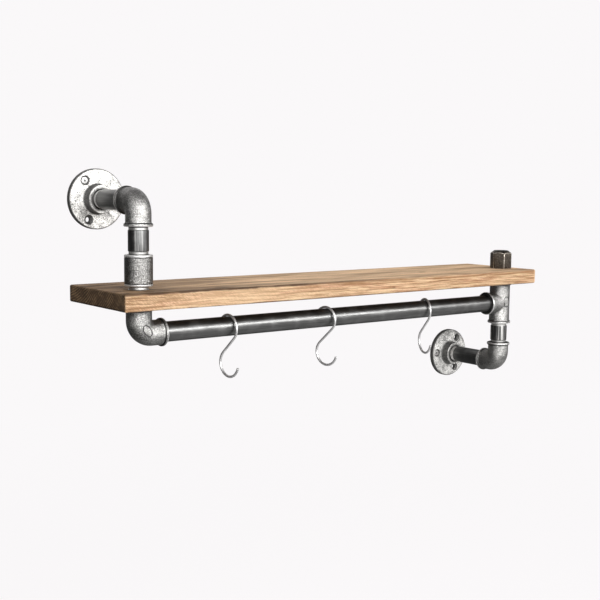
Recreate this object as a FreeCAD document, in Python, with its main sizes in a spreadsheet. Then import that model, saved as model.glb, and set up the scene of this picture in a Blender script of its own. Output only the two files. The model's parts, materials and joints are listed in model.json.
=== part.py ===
import FreeCAD, Part
import math
import os
import re
import Sketcher

# A wall shelf of screwed 3/4 inch pipe: a board held between two pipe legs, with a hanging rail below it.
# The origin is the centre of the upper flange's back: +X along the shelf, +Y into the wall, +Z up.
# A pipe's length in the sheet is what shows between two fittings: the threads go further in at both ends.

SIZES = {
    # pipe and its thread
    "pipe_outer": 26.9,
    "pipe_wall": 2.6,
    "pipe_bevel": 0.8,
    "thread_step": 0.25,
    "thread_height": 1.1,
    "thread_pitch": 1.814,
    "thread_crest": 0.3,
    "thread_grip": 14.5,
    "thread_show": 3.5,
    "thread_fit": 0.15,
    "thread_spare": 1.0,
    # cast elbows and tee
    "fitting_wall": 3.35,
    "rim_height": 2.05,
    "rim_width": 4.0,
    "rim_round": 1.2,
    "mouth_bevel": 0.9,
    "throat_radius": 0.5,
    "elbow_reach": 33.0,
    "rail_reach": 34.5,
    # wall flanges
    "flange_outer": 82.0,
    "flange_plate": 7.5,
    "flange_height": 21.0,
    "flange_round": 1.5,
    "hub_wall": 5.9,
    "hub_foot": 1.5,
    "screw_circle": 61.0,
    "screw_hole": 7.0,
    "screw_sink": 12.5,
    "upper_flange_turn": 5.0,
    "lower_flange_turn": 177.0,
    # what shows of each pipe
    "wall_pipe": 66.0,
    "upper_drop": 35.3,
    "socket_lift": 4.2,
    "lower_drop": 32.5,
    "rail_length": 616.0,
    # socket and cap above the board
    "socket_length": 40.5,
    "socket_wall": 4.9,
    "socket_bevel": 0.8,
    "cap_wall": 2.15,
    "cap_height": 30.0,
    "cap_crown": 5.0,
    "cap_shoulder": 6.5,
    # board
    "shelf_thickness": 23.0,
    "shelf_front": 47.0,
    "shelf_back": 107.0,
    "shelf_left": 45.5,
    "shelf_right": 34.0,
    "shelf_round": 1.8,
    "shelf_hole_fit": 0.4,
    # hooks
    "hook_wire": 3.5,
    "hook_fit": 0.3,
    "hook_slack": 2.6,
    "hook_loop": 18.8,
    "hook_drop": 50.8,
    "hook_lead": 2.5,
    "hook_tip": 4.6,
    "hook_end_round": 0.8,
    "left_hook_place": 137.4,
    "left_hook_turn": 6.0,
    "middle_hook_place": 308.5,
    "middle_hook_turn": 11.0,
    "right_hook_place": 510.4,
    "right_hook_turn": -15.5,
}

FLANGE_HOLES = 3
TOUCH = 0.01

# What follows from the sizes. A formula may use the sizes and other formulas.
FORMULAS = {
    "pipe_radius": "pipe_outer / 2",
    "water_radius": "pipe_radius - pipe_wall",
    "crest_radius": "pipe_radius - thread_step",
    "root_radius": "crest_radius - thread_height",
    "thread_radius": "crest_radius + thread_fit",
    "thread_depth": "thread_grip + thread_spare",
    "thread_turns": "floor((thread_grip + thread_show) / thread_pitch)",
    "body_radius": "thread_radius + fitting_wall",
    "rim_radius": "body_radius + rim_height",
    "bend_radius": "body_radius + throat_radius",
    "hub_radius": "thread_radius + hub_wall",
    "socket_radius": "thread_radius + socket_wall",
    "corner_radius": "(thread_radius + cap_wall) / cos(30deg)",
    "hole_radius": "pipe_radius + shelf_hole_fit",
    "leg_y": "-(flange_height + wall_pipe + elbow_reach)",
    "socket_z": "-(elbow_reach + upper_drop + socket_length)",
    "shelf_z": "socket_z - socket_lift",
    "shelf_under_z": "shelf_z - shelf_thickness",
    "rail_z": "shelf_under_z - rail_reach",
    "lower_z": "rail_z - rail_reach - lower_drop - elbow_reach",
    "span": "rail_length + 2 * rail_reach",
    "hook_bend": "pipe_radius + hook_fit + hook_slack + hook_wire / 2",
}

X, Y, Z = FreeCAD.Vector(1, 0, 0), FreeCAD.Vector(0, 1, 0), FreeCAD.Vector(0, 0, 1)
UPRIGHT = FreeCAD.Rotation()
OFF_WALL = FreeCAD.Rotation(X, 90)
RIGHTWARDS = FreeCAD.Rotation(Y, 90)
LEFTWARDS = FreeCAD.Rotation(Z, 180)
LAID = {"+X": RIGHTWARDS, "+Y": FreeCAD.Rotation(X, -90), "+Z": UPRIGHT, "-Z": FreeCAD.Rotation(X, 180)}


def bound(formula):
    """The formula with every size and every other formula replaced by cells of the sheet."""
    def cell(match):
        word = match.group(0)
        if word in SIZES:
            return "Sizes." + word
        if word in FORMULAS:
            return "(" + bound(FORMULAS[word]) + ")"
        return word
    return re.sub(r"[a-z][a-z_]+", cell, formula)


def bind(thing, **formulas):
    """Tie properties of an object to formulas; a double underscore stands for a dot."""
    for name, formula in formulas.items():
        thing.setExpression(name.replace("__", "."), bound(formula))


def new_body(name, at, rotation):
    body = doc.addObject("PartDesign::Body", name)
    body.Label = name
    body.Placement = FreeCAD.Placement(FreeCAD.Vector(), rotation)
    bind(body, Placement__Base__x=at[0], Placement__Base__y=at[1], Placement__Base__z=at[2])
    return body


def origin_part(body, role):
    return next(item for item in body.Origin.OriginFeatures if item.Role == role)


def new_sketch(body, name, role, height="0"):
    """An empty sketch on one of the body's own planes, lifted off it by a formula."""
    sketch = body.newObject("Sketcher::SketchObject", body.Label + "_" + name)
    sketch.AttachmentSupport = [(origin_part(body, role), "")]
    sketch.MapMode = "FlatFace"
    bind(sketch, AttachmentOffset__Base__z=height)
    return sketch


def constrain(sketch, formula, kind, *where, drawn=1.0):
    """A sized constraint, drawn at a first value that its formula then replaces."""
    index = sketch.addConstraint(Sketcher.Constraint(kind, *where, drawn))
    sketch.setExpression("Constraints[%d]" % index, bound(formula))


def hold_point(sketch, shape, end, x, y, drawn=FreeCAD.Vector(1, 1)):
    constrain(sketch, x, "DistanceX", -1, 1, shape, end, drawn=drawn.x)
    constrain(sketch, y, "DistanceY", -1, 1, shape, end, drawn=drawn.y)


def add_outline(sketch, corners):
    """A closed outline of straight lines whose corners are pairs of formulas."""
    steps = [2 * math.pi * i / len(corners) for i in range(len(corners))]
    ring = [FreeCAD.Vector(math.cos(step), math.sin(step)) for step in steps]
    for start, end in zip(ring, ring[1:] + ring[:1]):
        sketch.addGeometry(Part.LineSegment(start, end), False)
    for i, (x, y) in enumerate(corners):
        sketch.addConstraint(Sketcher.Constraint("Coincident", i, 2, (i + 1) % len(corners), 1))
        hold_point(sketch, i, 1, x, y)


def add_circle(sketch, radius, x, y):
    index = sketch.addGeometry(Part.Circle(FreeCAD.Vector(), Z, 1), False)
    constrain(sketch, radius, "Radius", index)
    hold_point(sketch, index, 3, x, y)


def turned(body, kind, name, corners):
    """A revolution or groove about the body's Z axis, from an outline of radii and heights."""
    sketch = new_sketch(body, name + "_outline", "XZ_Plane")
    add_outline(sketch, corners)
    feature = body.newObject("PartDesign::" + kind, body.Label + "_" + name)
    feature.Profile = sketch
    feature.ReferenceAxis = (sketch, ["V_Axis"])
    feature.Angle = 360
    return feature


def primitive(body, kind, name, rotation, at, **formulas):
    """A cylinder, cone or torus added to the body or cut from it."""
    feature = body.newObject("PartDesign::" + kind, body.Label + "_" + name)
    feature.AttachmentSupport = [(origin_part(body, "XY_Plane"), "")]
    feature.MapMode = "FlatFace"
    feature.AttachmentOffset = FreeCAD.Placement(FreeCAD.Vector(), rotation)
    for axis, formula in zip("xyz", at):
        feature.setExpression("AttachmentOffset.Base." + axis, bound(formula))
    bind(feature, **formulas)
    return feature


def round_edges(body, name, radius, wanted):
    """Round the edges of the body so far that pass a test."""
    doc.recompute()
    base = body.Tip
    names = ["Edge%d" % i for i, edge in enumerate(base.Shape.Edges, start=1) if wanted(edge)]
    fillet = body.newObject("PartDesign::Fillet", body.Label + "_" + name)
    fillet.Base = (base, names)
    bind(fillet, Radius=radius)


def is_circle(edge):
    return isinstance(edge.Curve, Part.Circle) and edge.isClosed()


def widest_circles(shape):
    """A test for the circular edges of the greatest radius."""
    radius = max(edge.Curve.Radius for edge in shape.Edges if is_circle(edge))
    return lambda edge: is_circle(edge) and edge.Curve.Radius > radius - TOUCH


def make_pipe(name, shows, at, rotation):
    """A pipe with a tapping thread at each end, standing on the face of the fitting it comes out of."""
    body = new_body(name, at, rotation)
    low, high = "-thread_grip", shows + " + thread_grip"
    near, far = "thread_show", shows + " - thread_show"
    turned(body, "Revolution", "barrel", [
        ("water_radius", low), ("crest_radius - pipe_bevel", low), ("crest_radius", low + " + pipe_bevel"),
        ("crest_radius", near), ("pipe_radius", near + " + thread_step"),
        ("pipe_radius", far + " - thread_step"), ("crest_radius", far),
        ("crest_radius", high + " - pipe_bevel"), ("crest_radius - pipe_bevel", high),
        ("water_radius", high)])
    for end, middle in (("near", near + " - thread_pitch / 2"), ("far", far + " + thread_pitch / 2")):
        groove = turned(body, "Groove", end + "_groove", [
            ("root_radius", middle),
            ("crest_radius + thread_height", middle + " + thread_pitch - thread_crest"),
            ("crest_radius + thread_height", middle + " - thread_pitch + thread_crest")])
        doc.recompute()
        thread = body.newObject("PartDesign::LinearPattern", "%s_%s_thread" % (name, end))
        thread.Originals = [groove]
        thread.Direction = (origin_part(body, "Z_Axis"), [""])
        thread.Reversed = end == "near"
        thread.Mode = "Spacing"
        bind(thread, Offset="thread_pitch", Occurrences="thread_turns")
        body.Tip = thread


def shift(axis, distance):
    """A place that lies a formula's distance along one of the body's axes."""
    return tuple(distance if letter == axis[-1] else "0" for letter in "XYZ")


def add_port(body, name, axis, start, reach):
    """The outside of one branch of a fitting: its wall from the start, and its rim."""
    sign = axis[0]
    primitive(body, "AdditiveCylinder", name + "_wall", LAID[axis], shift(axis, sign + start),
              Radius="body_radius", Height="%s - (%s)" % (reach, start))
    primitive(body, "AdditiveCylinder", name + "_rim", LAID[axis],
              shift(axis, "%s(%s - rim_width)" % (sign, reach)), Radius="rim_radius", Height="rim_width")


def open_port(body, name, axis, start, reach):
    """The inside of one branch: the waterway from the start, the tapped socket and its bevelled mouth."""
    sign = axis[0]
    primitive(body, "SubtractiveCylinder", name + "_water", LAID[axis], shift(axis, sign + start),
              Radius="water_radius", Height="%s - (%s)" % (reach, start))
    primitive(body, "SubtractiveCylinder", name + "_tapping", LAID[axis],
              shift(axis, "%s(%s - thread_depth)" % (sign, reach)),
              Radius="thread_radius", Height="thread_depth")
    primitive(body, "SubtractiveCone", name + "_mouth", LAID[axis],
              shift(axis, "%s(%s - mouth_bevel)" % (sign, reach)),
              Radius1="thread_radius", Radius2="thread_radius + mouth_bevel", Height="mouth_bevel")


def make_fitting(name, ports, start, reach, at, rotation):
    """A cast fitting with equal branches. One with two branches is an elbow, bent about its throat."""
    body = new_body(name, at, rotation)
    elbow = len(ports) == 2
    corner = ("bend_radius", "bend_radius", "0")
    if elbow:
        primitive(body, "AdditiveTorus", "bend", LEFTWARDS, corner,
                  Radius1="bend_radius", Radius2="body_radius", Angle3="90deg")
    for count, axis in enumerate(ports, start=1):
        add_port(body, "port%d" % count, axis, start, reach)
    doc.recompute()
    round_edges(body, "rims", "rim_round", widest_circles(body.Shape))
    if elbow:
        primitive(body, "SubtractiveTorus", "waterway", LEFTWARDS, corner,
                  Radius1="bend_radius", Radius2="water_radius", Angle3="90deg")
    for count, axis in enumerate(ports, start=1):
        open_port(body, "port%d" % count, axis, start, reach)


def make_elbow(name, reach, at, rotation):
    make_fitting(name, ["+X", "+Y"], "bend_radius", reach, at, rotation)


def make_flange(name, turn, at):
    """A round wall flange: a plate with countersunk screw holes, and a tapped hub."""
    body = new_body(name, at, OFF_WALL)
    turned(body, "Revolution", "casting", [
        ("thread_radius", "0"), ("flange_outer / 2", "0"), ("flange_outer / 2", "flange_plate"),
        ("hub_radius + hub_foot", "flange_plate"), ("hub_radius", "flange_plate + hub_foot"),
        ("hub_radius", "flange_height - mouth_bevel"), ("hub_radius - mouth_bevel", "flange_height"),
        ("thread_radius + mouth_bevel", "flange_height"), ("thread_radius", "flange_height - mouth_bevel")])
    doc.recompute()
    on_rim = widest_circles(body.Shape)
    round_edges(body, "edge", "flange_round", lambda edge: on_rim(edge) and edge.BoundBox.ZMax > TOUCH)
    spot = new_sketch(body, "screw_place", "XY_Plane", "flange_plate")
    add_circle(spot, "screw_hole / 2", "screw_circle / 2 * cos(%s * 1deg)" % turn,
               "screw_circle / 2 * sin(%s * 1deg)" % turn)
    hole = body.newObject("PartDesign::Hole", name + "_screw_hole")
    hole.Profile = spot
    doc.recompute()
    hole.DepthType = "ThroughAll"
    hole.HoleCutType = "Countersink"
    hole.HoleCutCustomValues = True
    hole.HoleCutCountersinkAngle = 90
    bind(hole, Diameter="screw_hole", HoleCutDiameter="screw_sink")
    doc.recompute()
    holes = body.newObject("PartDesign::PolarPattern", name + "_screw_holes")
    holes.Originals = [hole]
    holes.Axis = (origin_part(body, "Z_Axis"), [""])
    holes.Angle = 360
    holes.Occurrences = FLANGE_HOLES
    body.Tip = holes


def make_socket(name, at):
    """A plain tapped coupling, bevelled outside and at both mouths."""
    body = new_body(name, at, UPRIGHT)
    turned(body, "Revolution", "coupling", [
        ("thread_radius + mouth_bevel", "0"), ("socket_radius - socket_bevel", "0"),
        ("socket_radius", "socket_bevel"), ("socket_radius", "socket_length - socket_bevel"),
        ("socket_radius - socket_bevel", "socket_length"), ("thread_radius + mouth_bevel", "socket_length"),
        ("thread_radius", "socket_length - mouth_bevel"), ("thread_radius", "mouth_bevel")])


def make_cap(name, at):
    """A deep hexagon cap, with flats to the front and back, a crowned top and a blind tapping."""
    body = new_body(name, at, UPRIGHT)
    sketch = new_sketch(body, "hexagon", "XY_Plane")
    add_outline(sketch, [("corner_radius * cos(%ddeg)" % turn, "corner_radius * sin(%ddeg)" % turn)
                         for turn in range(0, 360, 60)])
    pad = body.newObject("PartDesign::Pad", name + "_prism")
    pad.Profile = sketch
    bind(pad, Length="cap_height")
    shoulder, clear = "corner_radius - cap_shoulder", "corner_radius + cap_crown"
    below, above = "cap_height - cap_crown", "cap_height + cap_crown"
    turned(body, "Groove", "crown", [
        (shoulder, "cap_height"), ("corner_radius", below), (clear, below),
        (clear, above), (shoulder, above)])
    primitive(body, "SubtractiveCylinder", "tapping", UPRIGHT, ("0", "0", "0"),
              Radius="thread_radius", Height="thread_depth")
    primitive(body, "SubtractiveCone", "mouth", UPRIGHT, ("0", "0", "0"),
              Radius1="thread_radius + mouth_bevel", Radius2="thread_radius", Height="mouth_bevel")


def make_board(name, at):
    """The board, with a clear hole for each leg and worn edges all round."""
    body = new_body(name, at, UPRIGHT)
    sketch = new_sketch(body, "plan", "XY_Plane")
    right = "span + shelf_right"
    add_outline(sketch, [("-shelf_left", "-shelf_front"), (right, "-shelf_front"),
                         (right, "shelf_back"), ("-shelf_left", "shelf_back")])
    for x in ("0", "span"):
        add_circle(sketch, "hole_radius", x, "0")
    pad = body.newObject("PartDesign::Pad", name + "_plank")
    pad.Profile = sketch
    bind(pad, Length="shelf_thickness")
    round_edges(body, "worn_edges", "shelf_round", lambda edge: isinstance(edge.Curve, Part.Line))


def make_hook(name, place, turn):
    """An S-hook of round wire about the rail: over its top, down its front and back under to a loop."""
    body = new_body(name, (place, "leg_y", "rail_z"), UPRIGHT)
    bind(body, Placement__Rotation__Angle=turn + " * 1deg")
    doc.recompute()
    upper = FreeCAD.Vector(0, -sheet.hook_slack)
    lower = FreeCAD.Vector(-sheet.hook_lead, -sheet.hook_drop)
    bend = sheet.pipe_outer / 2 + sheet.hook_fit + sheet.hook_slack + sheet.hook_wire / 2
    between = lower - upper
    leave = math.atan2(between.y, between.x) - math.acos((bend + sheet.hook_loop) / between.Length)
    across = FreeCAD.Vector(math.cos(leave), math.sin(leave))
    path = new_sketch(body, "path", "YZ_Plane")
    over_rail, loop = Part.Circle(upper, Z, bend), Part.Circle(lower, Z, sheet.hook_loop)
    path.addGeometry(Part.ArcOfCircle(over_rail, 0, leave + 2 * math.pi), False)
    path.addGeometry(Part.LineSegment(upper + across * bend, lower - across * sheet.hook_loop), False)
    path.addGeometry(Part.ArcOfCircle(loop, -math.pi, leave + math.pi), False)
    hold_point(path, 0, 3, "0", "-hook_slack", drawn=upper)
    hold_point(path, 2, 3, "-hook_lead", "-hook_drop", drawn=lower)
    constrain(path, "hook_bend", "Radius", 0, drawn=bend)
    constrain(path, "hook_loop", "Radius", 2, drawn=sheet.hook_loop)
    constrain(path, "-hook_slack", "DistanceY", -1, 1, 0, 1, drawn=upper.y)
    constrain(path, "-hook_drop - hook_tip", "DistanceY", -1, 1, 2, 1, drawn=lower.y)
    path.addConstraint(Sketcher.Constraint("Tangent", 0, 2, 1, 1))
    path.addConstraint(Sketcher.Constraint("Tangent", 1, 2, 2, 2))
    section = new_sketch(body, "section", "XY_Plane", "-hook_slack")
    add_circle(section, "hook_wire / 2", "0", "hook_bend")
    wire = body.newObject("PartDesign::AdditivePipe", name + "_wire")
    wire.Profile = section
    wire.Spine = (path, [])
    doc.recompute()
    ends = [face.Edges[0] for face in wire.Shape.Faces if isinstance(face.Surface, Part.Plane)]
    round_edges(body, "ends", "hook_end_round", lambda edge: any(edge.isSame(end) for end in ends))


def export_all():
    """Write every body to its own file, once nothing in the document has failed."""
    doc.recompute()
    for thing in doc.Objects:
        if "Invalid" in thing.State or "Error" in thing.State:
            raise RuntimeError("%s: %s" % (thing.Label, thing.State))
    bodies = [thing for thing in doc.Objects if thing.TypeId == "PartDesign::Body"]
    for body in bodies:
        if body.Shape.isNull() or not body.Shape.isValid() or len(body.Shape.Solids) != 1:
            raise RuntimeError(body.Label + " is not one valid solid")
    os.makedirs("parts", exist_ok=True)
    for body in bodies:
        solid = body.Shape.Solids[0]
        solid.exportStep("parts/%s.step" % body.Label)
        print("%s: %.0f cubic mm, centre %.2f %.2f %.2f" % (body.Label, solid.Volume, *solid.CenterOfMass))


doc = FreeCAD.newDocument("pipe_shelf")
sheet = doc.addObject("Spreadsheet::Sheet", "Sizes")
for row, (alias, value) in enumerate(SIZES.items(), start=1):
    sheet.set("A%d" % row, alias)
    sheet.set("B%d" % row, str(value))
    sheet.setAlias("B%d" % row, alias)
doc.recompute()

# Elbows are made with their branches along their own X and Y.
WALL_AND_DOWN = FreeCAD.Rotation(Y, -Z, -X, "XYZ")
RIGHT_AND_UP = OFF_WALL
WALL_AND_UP = FreeCAD.Rotation(Y, Z, X, "XYZ")

# Left leg, from the wall down to the rail.
make_flange("upper_wall_flange", "upper_flange_turn", ("0", "0", "0"))
make_pipe("upper_wall_nipple", "wall_pipe", ("0", "-flange_height", "0"), OFF_WALL)
make_elbow("upper_elbow", "elbow_reach", ("0", "leg_y", "0"), WALL_AND_DOWN)
make_pipe("upper_drop_nipple", "upper_drop", ("0", "leg_y", "socket_z + socket_length"), UPRIGHT)
make_socket("board_socket", ("0", "leg_y", "socket_z"))
make_pipe("left_board_nipple", "shelf_thickness + socket_lift", ("0", "leg_y", "shelf_under_z"), UPRIGHT)
make_elbow("left_rail_elbow", "rail_reach", ("0", "leg_y", "rail_z"), RIGHT_AND_UP)

# The rail and the board.
make_pipe("rail_pipe", "rail_length", ("rail_reach", "leg_y", "rail_z"), RIGHTWARDS)
make_board("shelf_board", ("0", "leg_y", "shelf_under_z"))

# Right leg, from the cap down to the wall.
make_cap("hex_cap", ("span", "leg_y", "shelf_z"))
make_pipe("right_board_nipple", "shelf_thickness", ("span", "leg_y", "shelf_under_z"), UPRIGHT)
make_fitting("rail_tee", ["+X", "+Z", "-Z"], "0", "rail_reach", ("span", "leg_y", "rail_z"), LEFTWARDS)
make_pipe("lower_drop_nipple", "lower_drop", ("span", "leg_y", "lower_z + elbow_reach"), UPRIGHT)
make_elbow("lower_elbow", "elbow_reach", ("span", "leg_y", "lower_z"), WALL_AND_UP)
make_pipe("lower_wall_nipple", "wall_pipe", ("span", "-flange_height", "lower_z"), OFF_WALL)
make_flange("lower_wall_flange", "lower_flange_turn", ("span", "0", "lower_z"))

# Hooks on the rail.
for side in ("left", "middle", "right"):
    make_hook("s_hook_" + side, side + "_hook_place", side + "_hook_turn")

export_all()
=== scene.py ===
import json
import math
from contextlib import contextmanager

import bpy
from mathutils import Matrix, Vector


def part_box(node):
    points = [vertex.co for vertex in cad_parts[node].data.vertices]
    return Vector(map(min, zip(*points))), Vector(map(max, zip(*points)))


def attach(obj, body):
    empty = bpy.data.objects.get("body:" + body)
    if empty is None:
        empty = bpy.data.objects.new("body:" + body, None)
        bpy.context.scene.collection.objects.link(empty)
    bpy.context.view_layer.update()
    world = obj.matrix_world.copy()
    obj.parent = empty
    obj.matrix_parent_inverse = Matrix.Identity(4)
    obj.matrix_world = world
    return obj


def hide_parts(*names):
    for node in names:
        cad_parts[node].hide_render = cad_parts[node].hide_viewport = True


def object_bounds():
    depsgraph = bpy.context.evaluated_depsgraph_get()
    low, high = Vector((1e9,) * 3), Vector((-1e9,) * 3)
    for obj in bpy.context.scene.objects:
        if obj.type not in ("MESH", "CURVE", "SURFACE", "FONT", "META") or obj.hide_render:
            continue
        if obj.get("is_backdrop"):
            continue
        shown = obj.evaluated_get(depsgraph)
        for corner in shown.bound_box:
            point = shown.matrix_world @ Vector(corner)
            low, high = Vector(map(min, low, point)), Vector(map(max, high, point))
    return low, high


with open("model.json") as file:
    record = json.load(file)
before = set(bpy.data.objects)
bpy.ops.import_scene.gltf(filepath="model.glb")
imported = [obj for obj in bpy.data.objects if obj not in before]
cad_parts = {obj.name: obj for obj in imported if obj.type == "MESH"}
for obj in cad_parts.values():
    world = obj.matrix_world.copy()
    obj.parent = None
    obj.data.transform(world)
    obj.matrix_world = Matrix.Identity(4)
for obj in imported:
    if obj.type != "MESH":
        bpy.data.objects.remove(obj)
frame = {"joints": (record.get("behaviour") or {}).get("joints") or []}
cad_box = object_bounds()

bl_info = {
    "name": "Pipe Shelf",
    "version": (1, 0, 0),
    "blender": (4, 5, 0),
    "location": "View3D > Sidebar > Pipe Shelf",
    "description": "A wall shelf of screwed pipe and cast fittings, with a pine board and wire hooks",
    "category": "Add Mesh",
}

MM = 0.001
X, Y, Z = Vector((1, 0, 0)), Vector((0, 1, 0)), Vector((0, 0, 1))
HAIR = 0.02 * MM


# Sizes and colours that a user would change

def length(name, description, millimetres):
    return bpy.props.FloatProperty(
        name=name, description=description, default=millimetres * MM, min=0.0, unit="LENGTH",
        precision=5)


def angle(name, description, degrees):
    return bpy.props.FloatProperty(
        name=name, description=description, default=math.radians(degrees), unit="ROTATION")


def brightness(name, description, value):
    return bpy.props.FloatProperty(name=name, description=description, default=value, min=0.0)


def colour(name, description, *red_green_blue):
    return bpy.props.FloatVectorProperty(
        name=name, description=description, default=red_green_blue, min=0.0, max=1.0, subtype="COLOR")


def group(kind, name):
    return bpy.props.PointerProperty(type=kind, name=name, description=kind.__doc__)


class PipeSettings(bpy.types.PropertyGroup):
    """Pipe with a screwed thread at both ends"""
    outer: length("Outside diameter", "Outside diameter of the pipe", 26.9)
    wall: length("Wall", "Thickness of the pipe's wall", 2.6)
    shoulder: length("Shoulder", "Length and rounding of the drop from the pipe to its turned neck", 1.0)
    grip: length("Thread inside", "Length of thread inside a fitting", 14.5)
    show: length("Neck", "Length of the bright turned neck that shows beside a fitting", 3.5)
    wall_show: length("Neck at the wall", "Length of the neck that shows beside a flange", 6.5)
    rail_show: length("Neck of the rail", "Length of the neck at the rail's ends", 1.2)
    neck: length("Neck depth", "How far the turned neck lies below the pipe's surface", 0.95)
    step: length("Thread step", "How far the thread's crests lie below the pipe's surface", 0.25)
    height: length("Thread height", "Height of the thread from root to crest", 1.1)
    pitch: length("Thread pitch", "Distance from one turn of the thread to the next", 1.814)
    steel: colour("Steel", "Colour of the dark drawn steel", 0.112, 0.112, 0.11)
    cut_steel: colour("Cut steel", "Colour of steel that a tool has cut", 0.46, 0.455, 0.44)
    # Painted shadow: this length of neck next to a fitting takes the shade iron
    gap: length("Gap", "Length of the neck that lies in the dirt of a fitting's mouth", 1.0)


class FittingSettings(bpy.types.PropertyGroup):
    """Cast elbows and tee"""
    body: length("Body radius", "Outside radius of a branch", 16.7)
    rim: length("Rim radius", "Outside radius of the bead round each mouth", 18.75)
    rim_width: length("Rim width", "Width of the bead", 4.0)
    rim_round: length("Rim rounding", "Radius of the bead's edges", 1.6)
    flare: length("Flare", "Radius of the hollow between bead and body", 1.8)
    tapping: length("Tapping radius", "Radius of the tapped socket", 13.35)
    tapping_depth: length("Tapping depth", "Depth of the tapped socket", 15.5)
    mouth: length("Mouth bevel", "Bevel at the tapped socket's mouth", 0.9)
    throat: length("Throat", "Radius inside the elbow's bend", 0.5)
    skin: length("Tee mesh", "Size of one face on the tee's blended body", 0.7)
    mark_height: length("Mark height", "Thickness of the plain raised ring on a casting", 1.5)
    iron: colour("Cast iron", "Colour of the bare malleable castings", 0.245, 0.242, 0.234)
    # Wear and painted highlight: the beads' pale colour also stands in for the bright lines of light
    # along them
    bead: colour("Bead", "Colour of the worn beads round the mouths", 0.62, 0.615, 0.60)
    # Painted shade: this near-black colour stands in for the shade inside mouths, grooves, slots and
    # creases
    shade_face: colour("Mouth", "Colour of the dull faces inside the mouths", 0.06, 0.059, 0.057)
    grain: length("Casting grain", "Size of one grain of the cast skin", 1.45)


class FlangeSettings(bpy.types.PropertyGroup):
    """Round wall flanges and their screws"""
    plate: length("Plate thickness", "Thickness of the round plate", 7.5)
    edge: length("Edge rounding", "Rounding of the plate's front edge", 1.5)
    hub: length("Hub radius", "Outside radius of the tapped hub", 19.25)
    foot: length("Hub foot", "Hollow between the hub and the plate", 2.4)
    mouth: length("Mouth bevel", "Bevel at the hub's mouth", 0.9)
    circle: length("Screw circle", "Diameter of the circle that the screw holes lie on", 61.0)
    hole: length("Screw hole", "Diameter of a screw hole", 7.0)
    sink: length("Countersink", "Diameter of a screw hole's countersink", 12.5)
    holes: bpy.props.IntProperty(name="Screw holes", description="Number of holes", default=3, min=1)
    upper_turn: angle("Upper flange turn", "Angle of the upper flange's first hole", 5.0)
    lower_turn: angle("Lower flange turn", "Angle of the lower flange's first hole", 177.0)
    iron: colour("Iron", "Colour of the flanges' pale castings", 0.54, 0.533, 0.515)
    screw_shank: length("Screw shank", "Diameter of a wood screw's shank", 5.0)
    screw_head: length("Screw head", "Diameter of a wood screw's head", 9.0)
    screw_steel: colour("Screw steel", "Colour of the plated screws", 0.86, 0.85, 0.83)


class SocketSettings(bpy.types.PropertyGroup):
    """Plain tapped coupling that stands over the board"""
    band: length("End band", "Height of the turned band at each end", 2.8)
    groove: length("Groove", "Depth and width of the line beside a band", 0.6)
    bevel: length("Bevel", "Rounding of the bands' edges", 1.2)
    iron: colour("Iron", "Colour of the socket's cast skin", 0.160, 0.157, 0.151)


class CapSettings(bpy.types.PropertyGroup):
    """Deep hexagon cap on the right leg"""
    crown: length("Crown height", "How far down the crown's bevel comes at the corners", 5.0)
    shoulder: length("Crown shoulder", "How far in from the corners the flat top begins", 6.5)
    # The bright edges are wear and painted highlight both
    worn: length("Worn edge", "Width of the bright wear along the edges", 0.55)
    oxide: colour("Oxide", "Colour of the brown-black oxide skin", 0.053, 0.045, 0.037)
    rubbed: colour("Rubbed edge", "Colour of the metal where the oxide is rubbed away", 0.42, 0.38, 0.33)


class BoardSettings(bpy.types.PropertyGroup):
    """Pine board with worn, darkened edges"""
    hole: length("Leg hole", "Diameter of the hole for each leg", 27.7)
    worn: length("Worn edge", "Rounding of the board's edges", 2.6)
    cell: length("Mesh cell", "Size of one face on the board", 5.0)
    dents: length("Dents", "How deep the sawn surface dips", 0.35)
    ring: length("Growth ring", "Distance from one growth ring to the next", 3.3)
    front: colour("Planed face", "Colour of the pale planed front", 0.82, 0.557, 0.338)
    blush: colour("Pink streaks", "Colour of the pink heartwood streaks", 0.74, 0.42, 0.26)
    late: colour("Late wood", "Colour of the dark line of each growth ring", 0.48, 0.25, 0.11)
    top: colour("Weathered top", "Colour of the brown top", 0.76, 0.53, 0.335)
    top_dark: colour("Top streaks", "Colour of the dark streaks in the top", 0.20, 0.119, 0.060)
    # This colour also darkens the underside, as painted shade
    stain_and_shade: colour("Stain", "Colour of the stained edges and end grain", 0.070, 0.040, 0.022)
    end: colour("End grain", "Colour of the lighter lines in the end grain", 0.185, 0.118, 0.062)


class HookSettings(bpy.types.PropertyGroup):
    """S-hooks of bent wire"""
    wire: length("Wire", "Diameter of the wire", 3.5)
    bend: length("Upper bend", "Radius of the wire's centreline over the rail", 18.1)
    slack: length("Slack", "How far the upper bend's centre lies below the rail's axis", 2.6)
    loop: length("Lower loop", "Radius of the wire's centreline in the lower loop", 18.8)
    drop: length("Drop", "How far the lower loop's centre lies below the rail's axis", 50.8)
    lead: length("Lead", "How far the lower loop's centre lies in front of the rail's axis", 2.5)
    tip: length("Tip", "How far the wire's tip lies below the lower loop's centre", 4.6)
    end: length("End rounding", "Rounding of the wire's ends", 0.8)
    left_turn: angle("Left turn", "Turn of the left hook about the upright", 6.0)
    middle_turn: angle("Middle turn", "Turn of the middle hook about the upright", 11.0)
    right_turn: angle("Right turn", "Turn of the right hook about the upright", -15.5)
    steel: colour("Wire steel", "Colour of the bright plated wire", 0.66, 0.655, 0.65)


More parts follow.
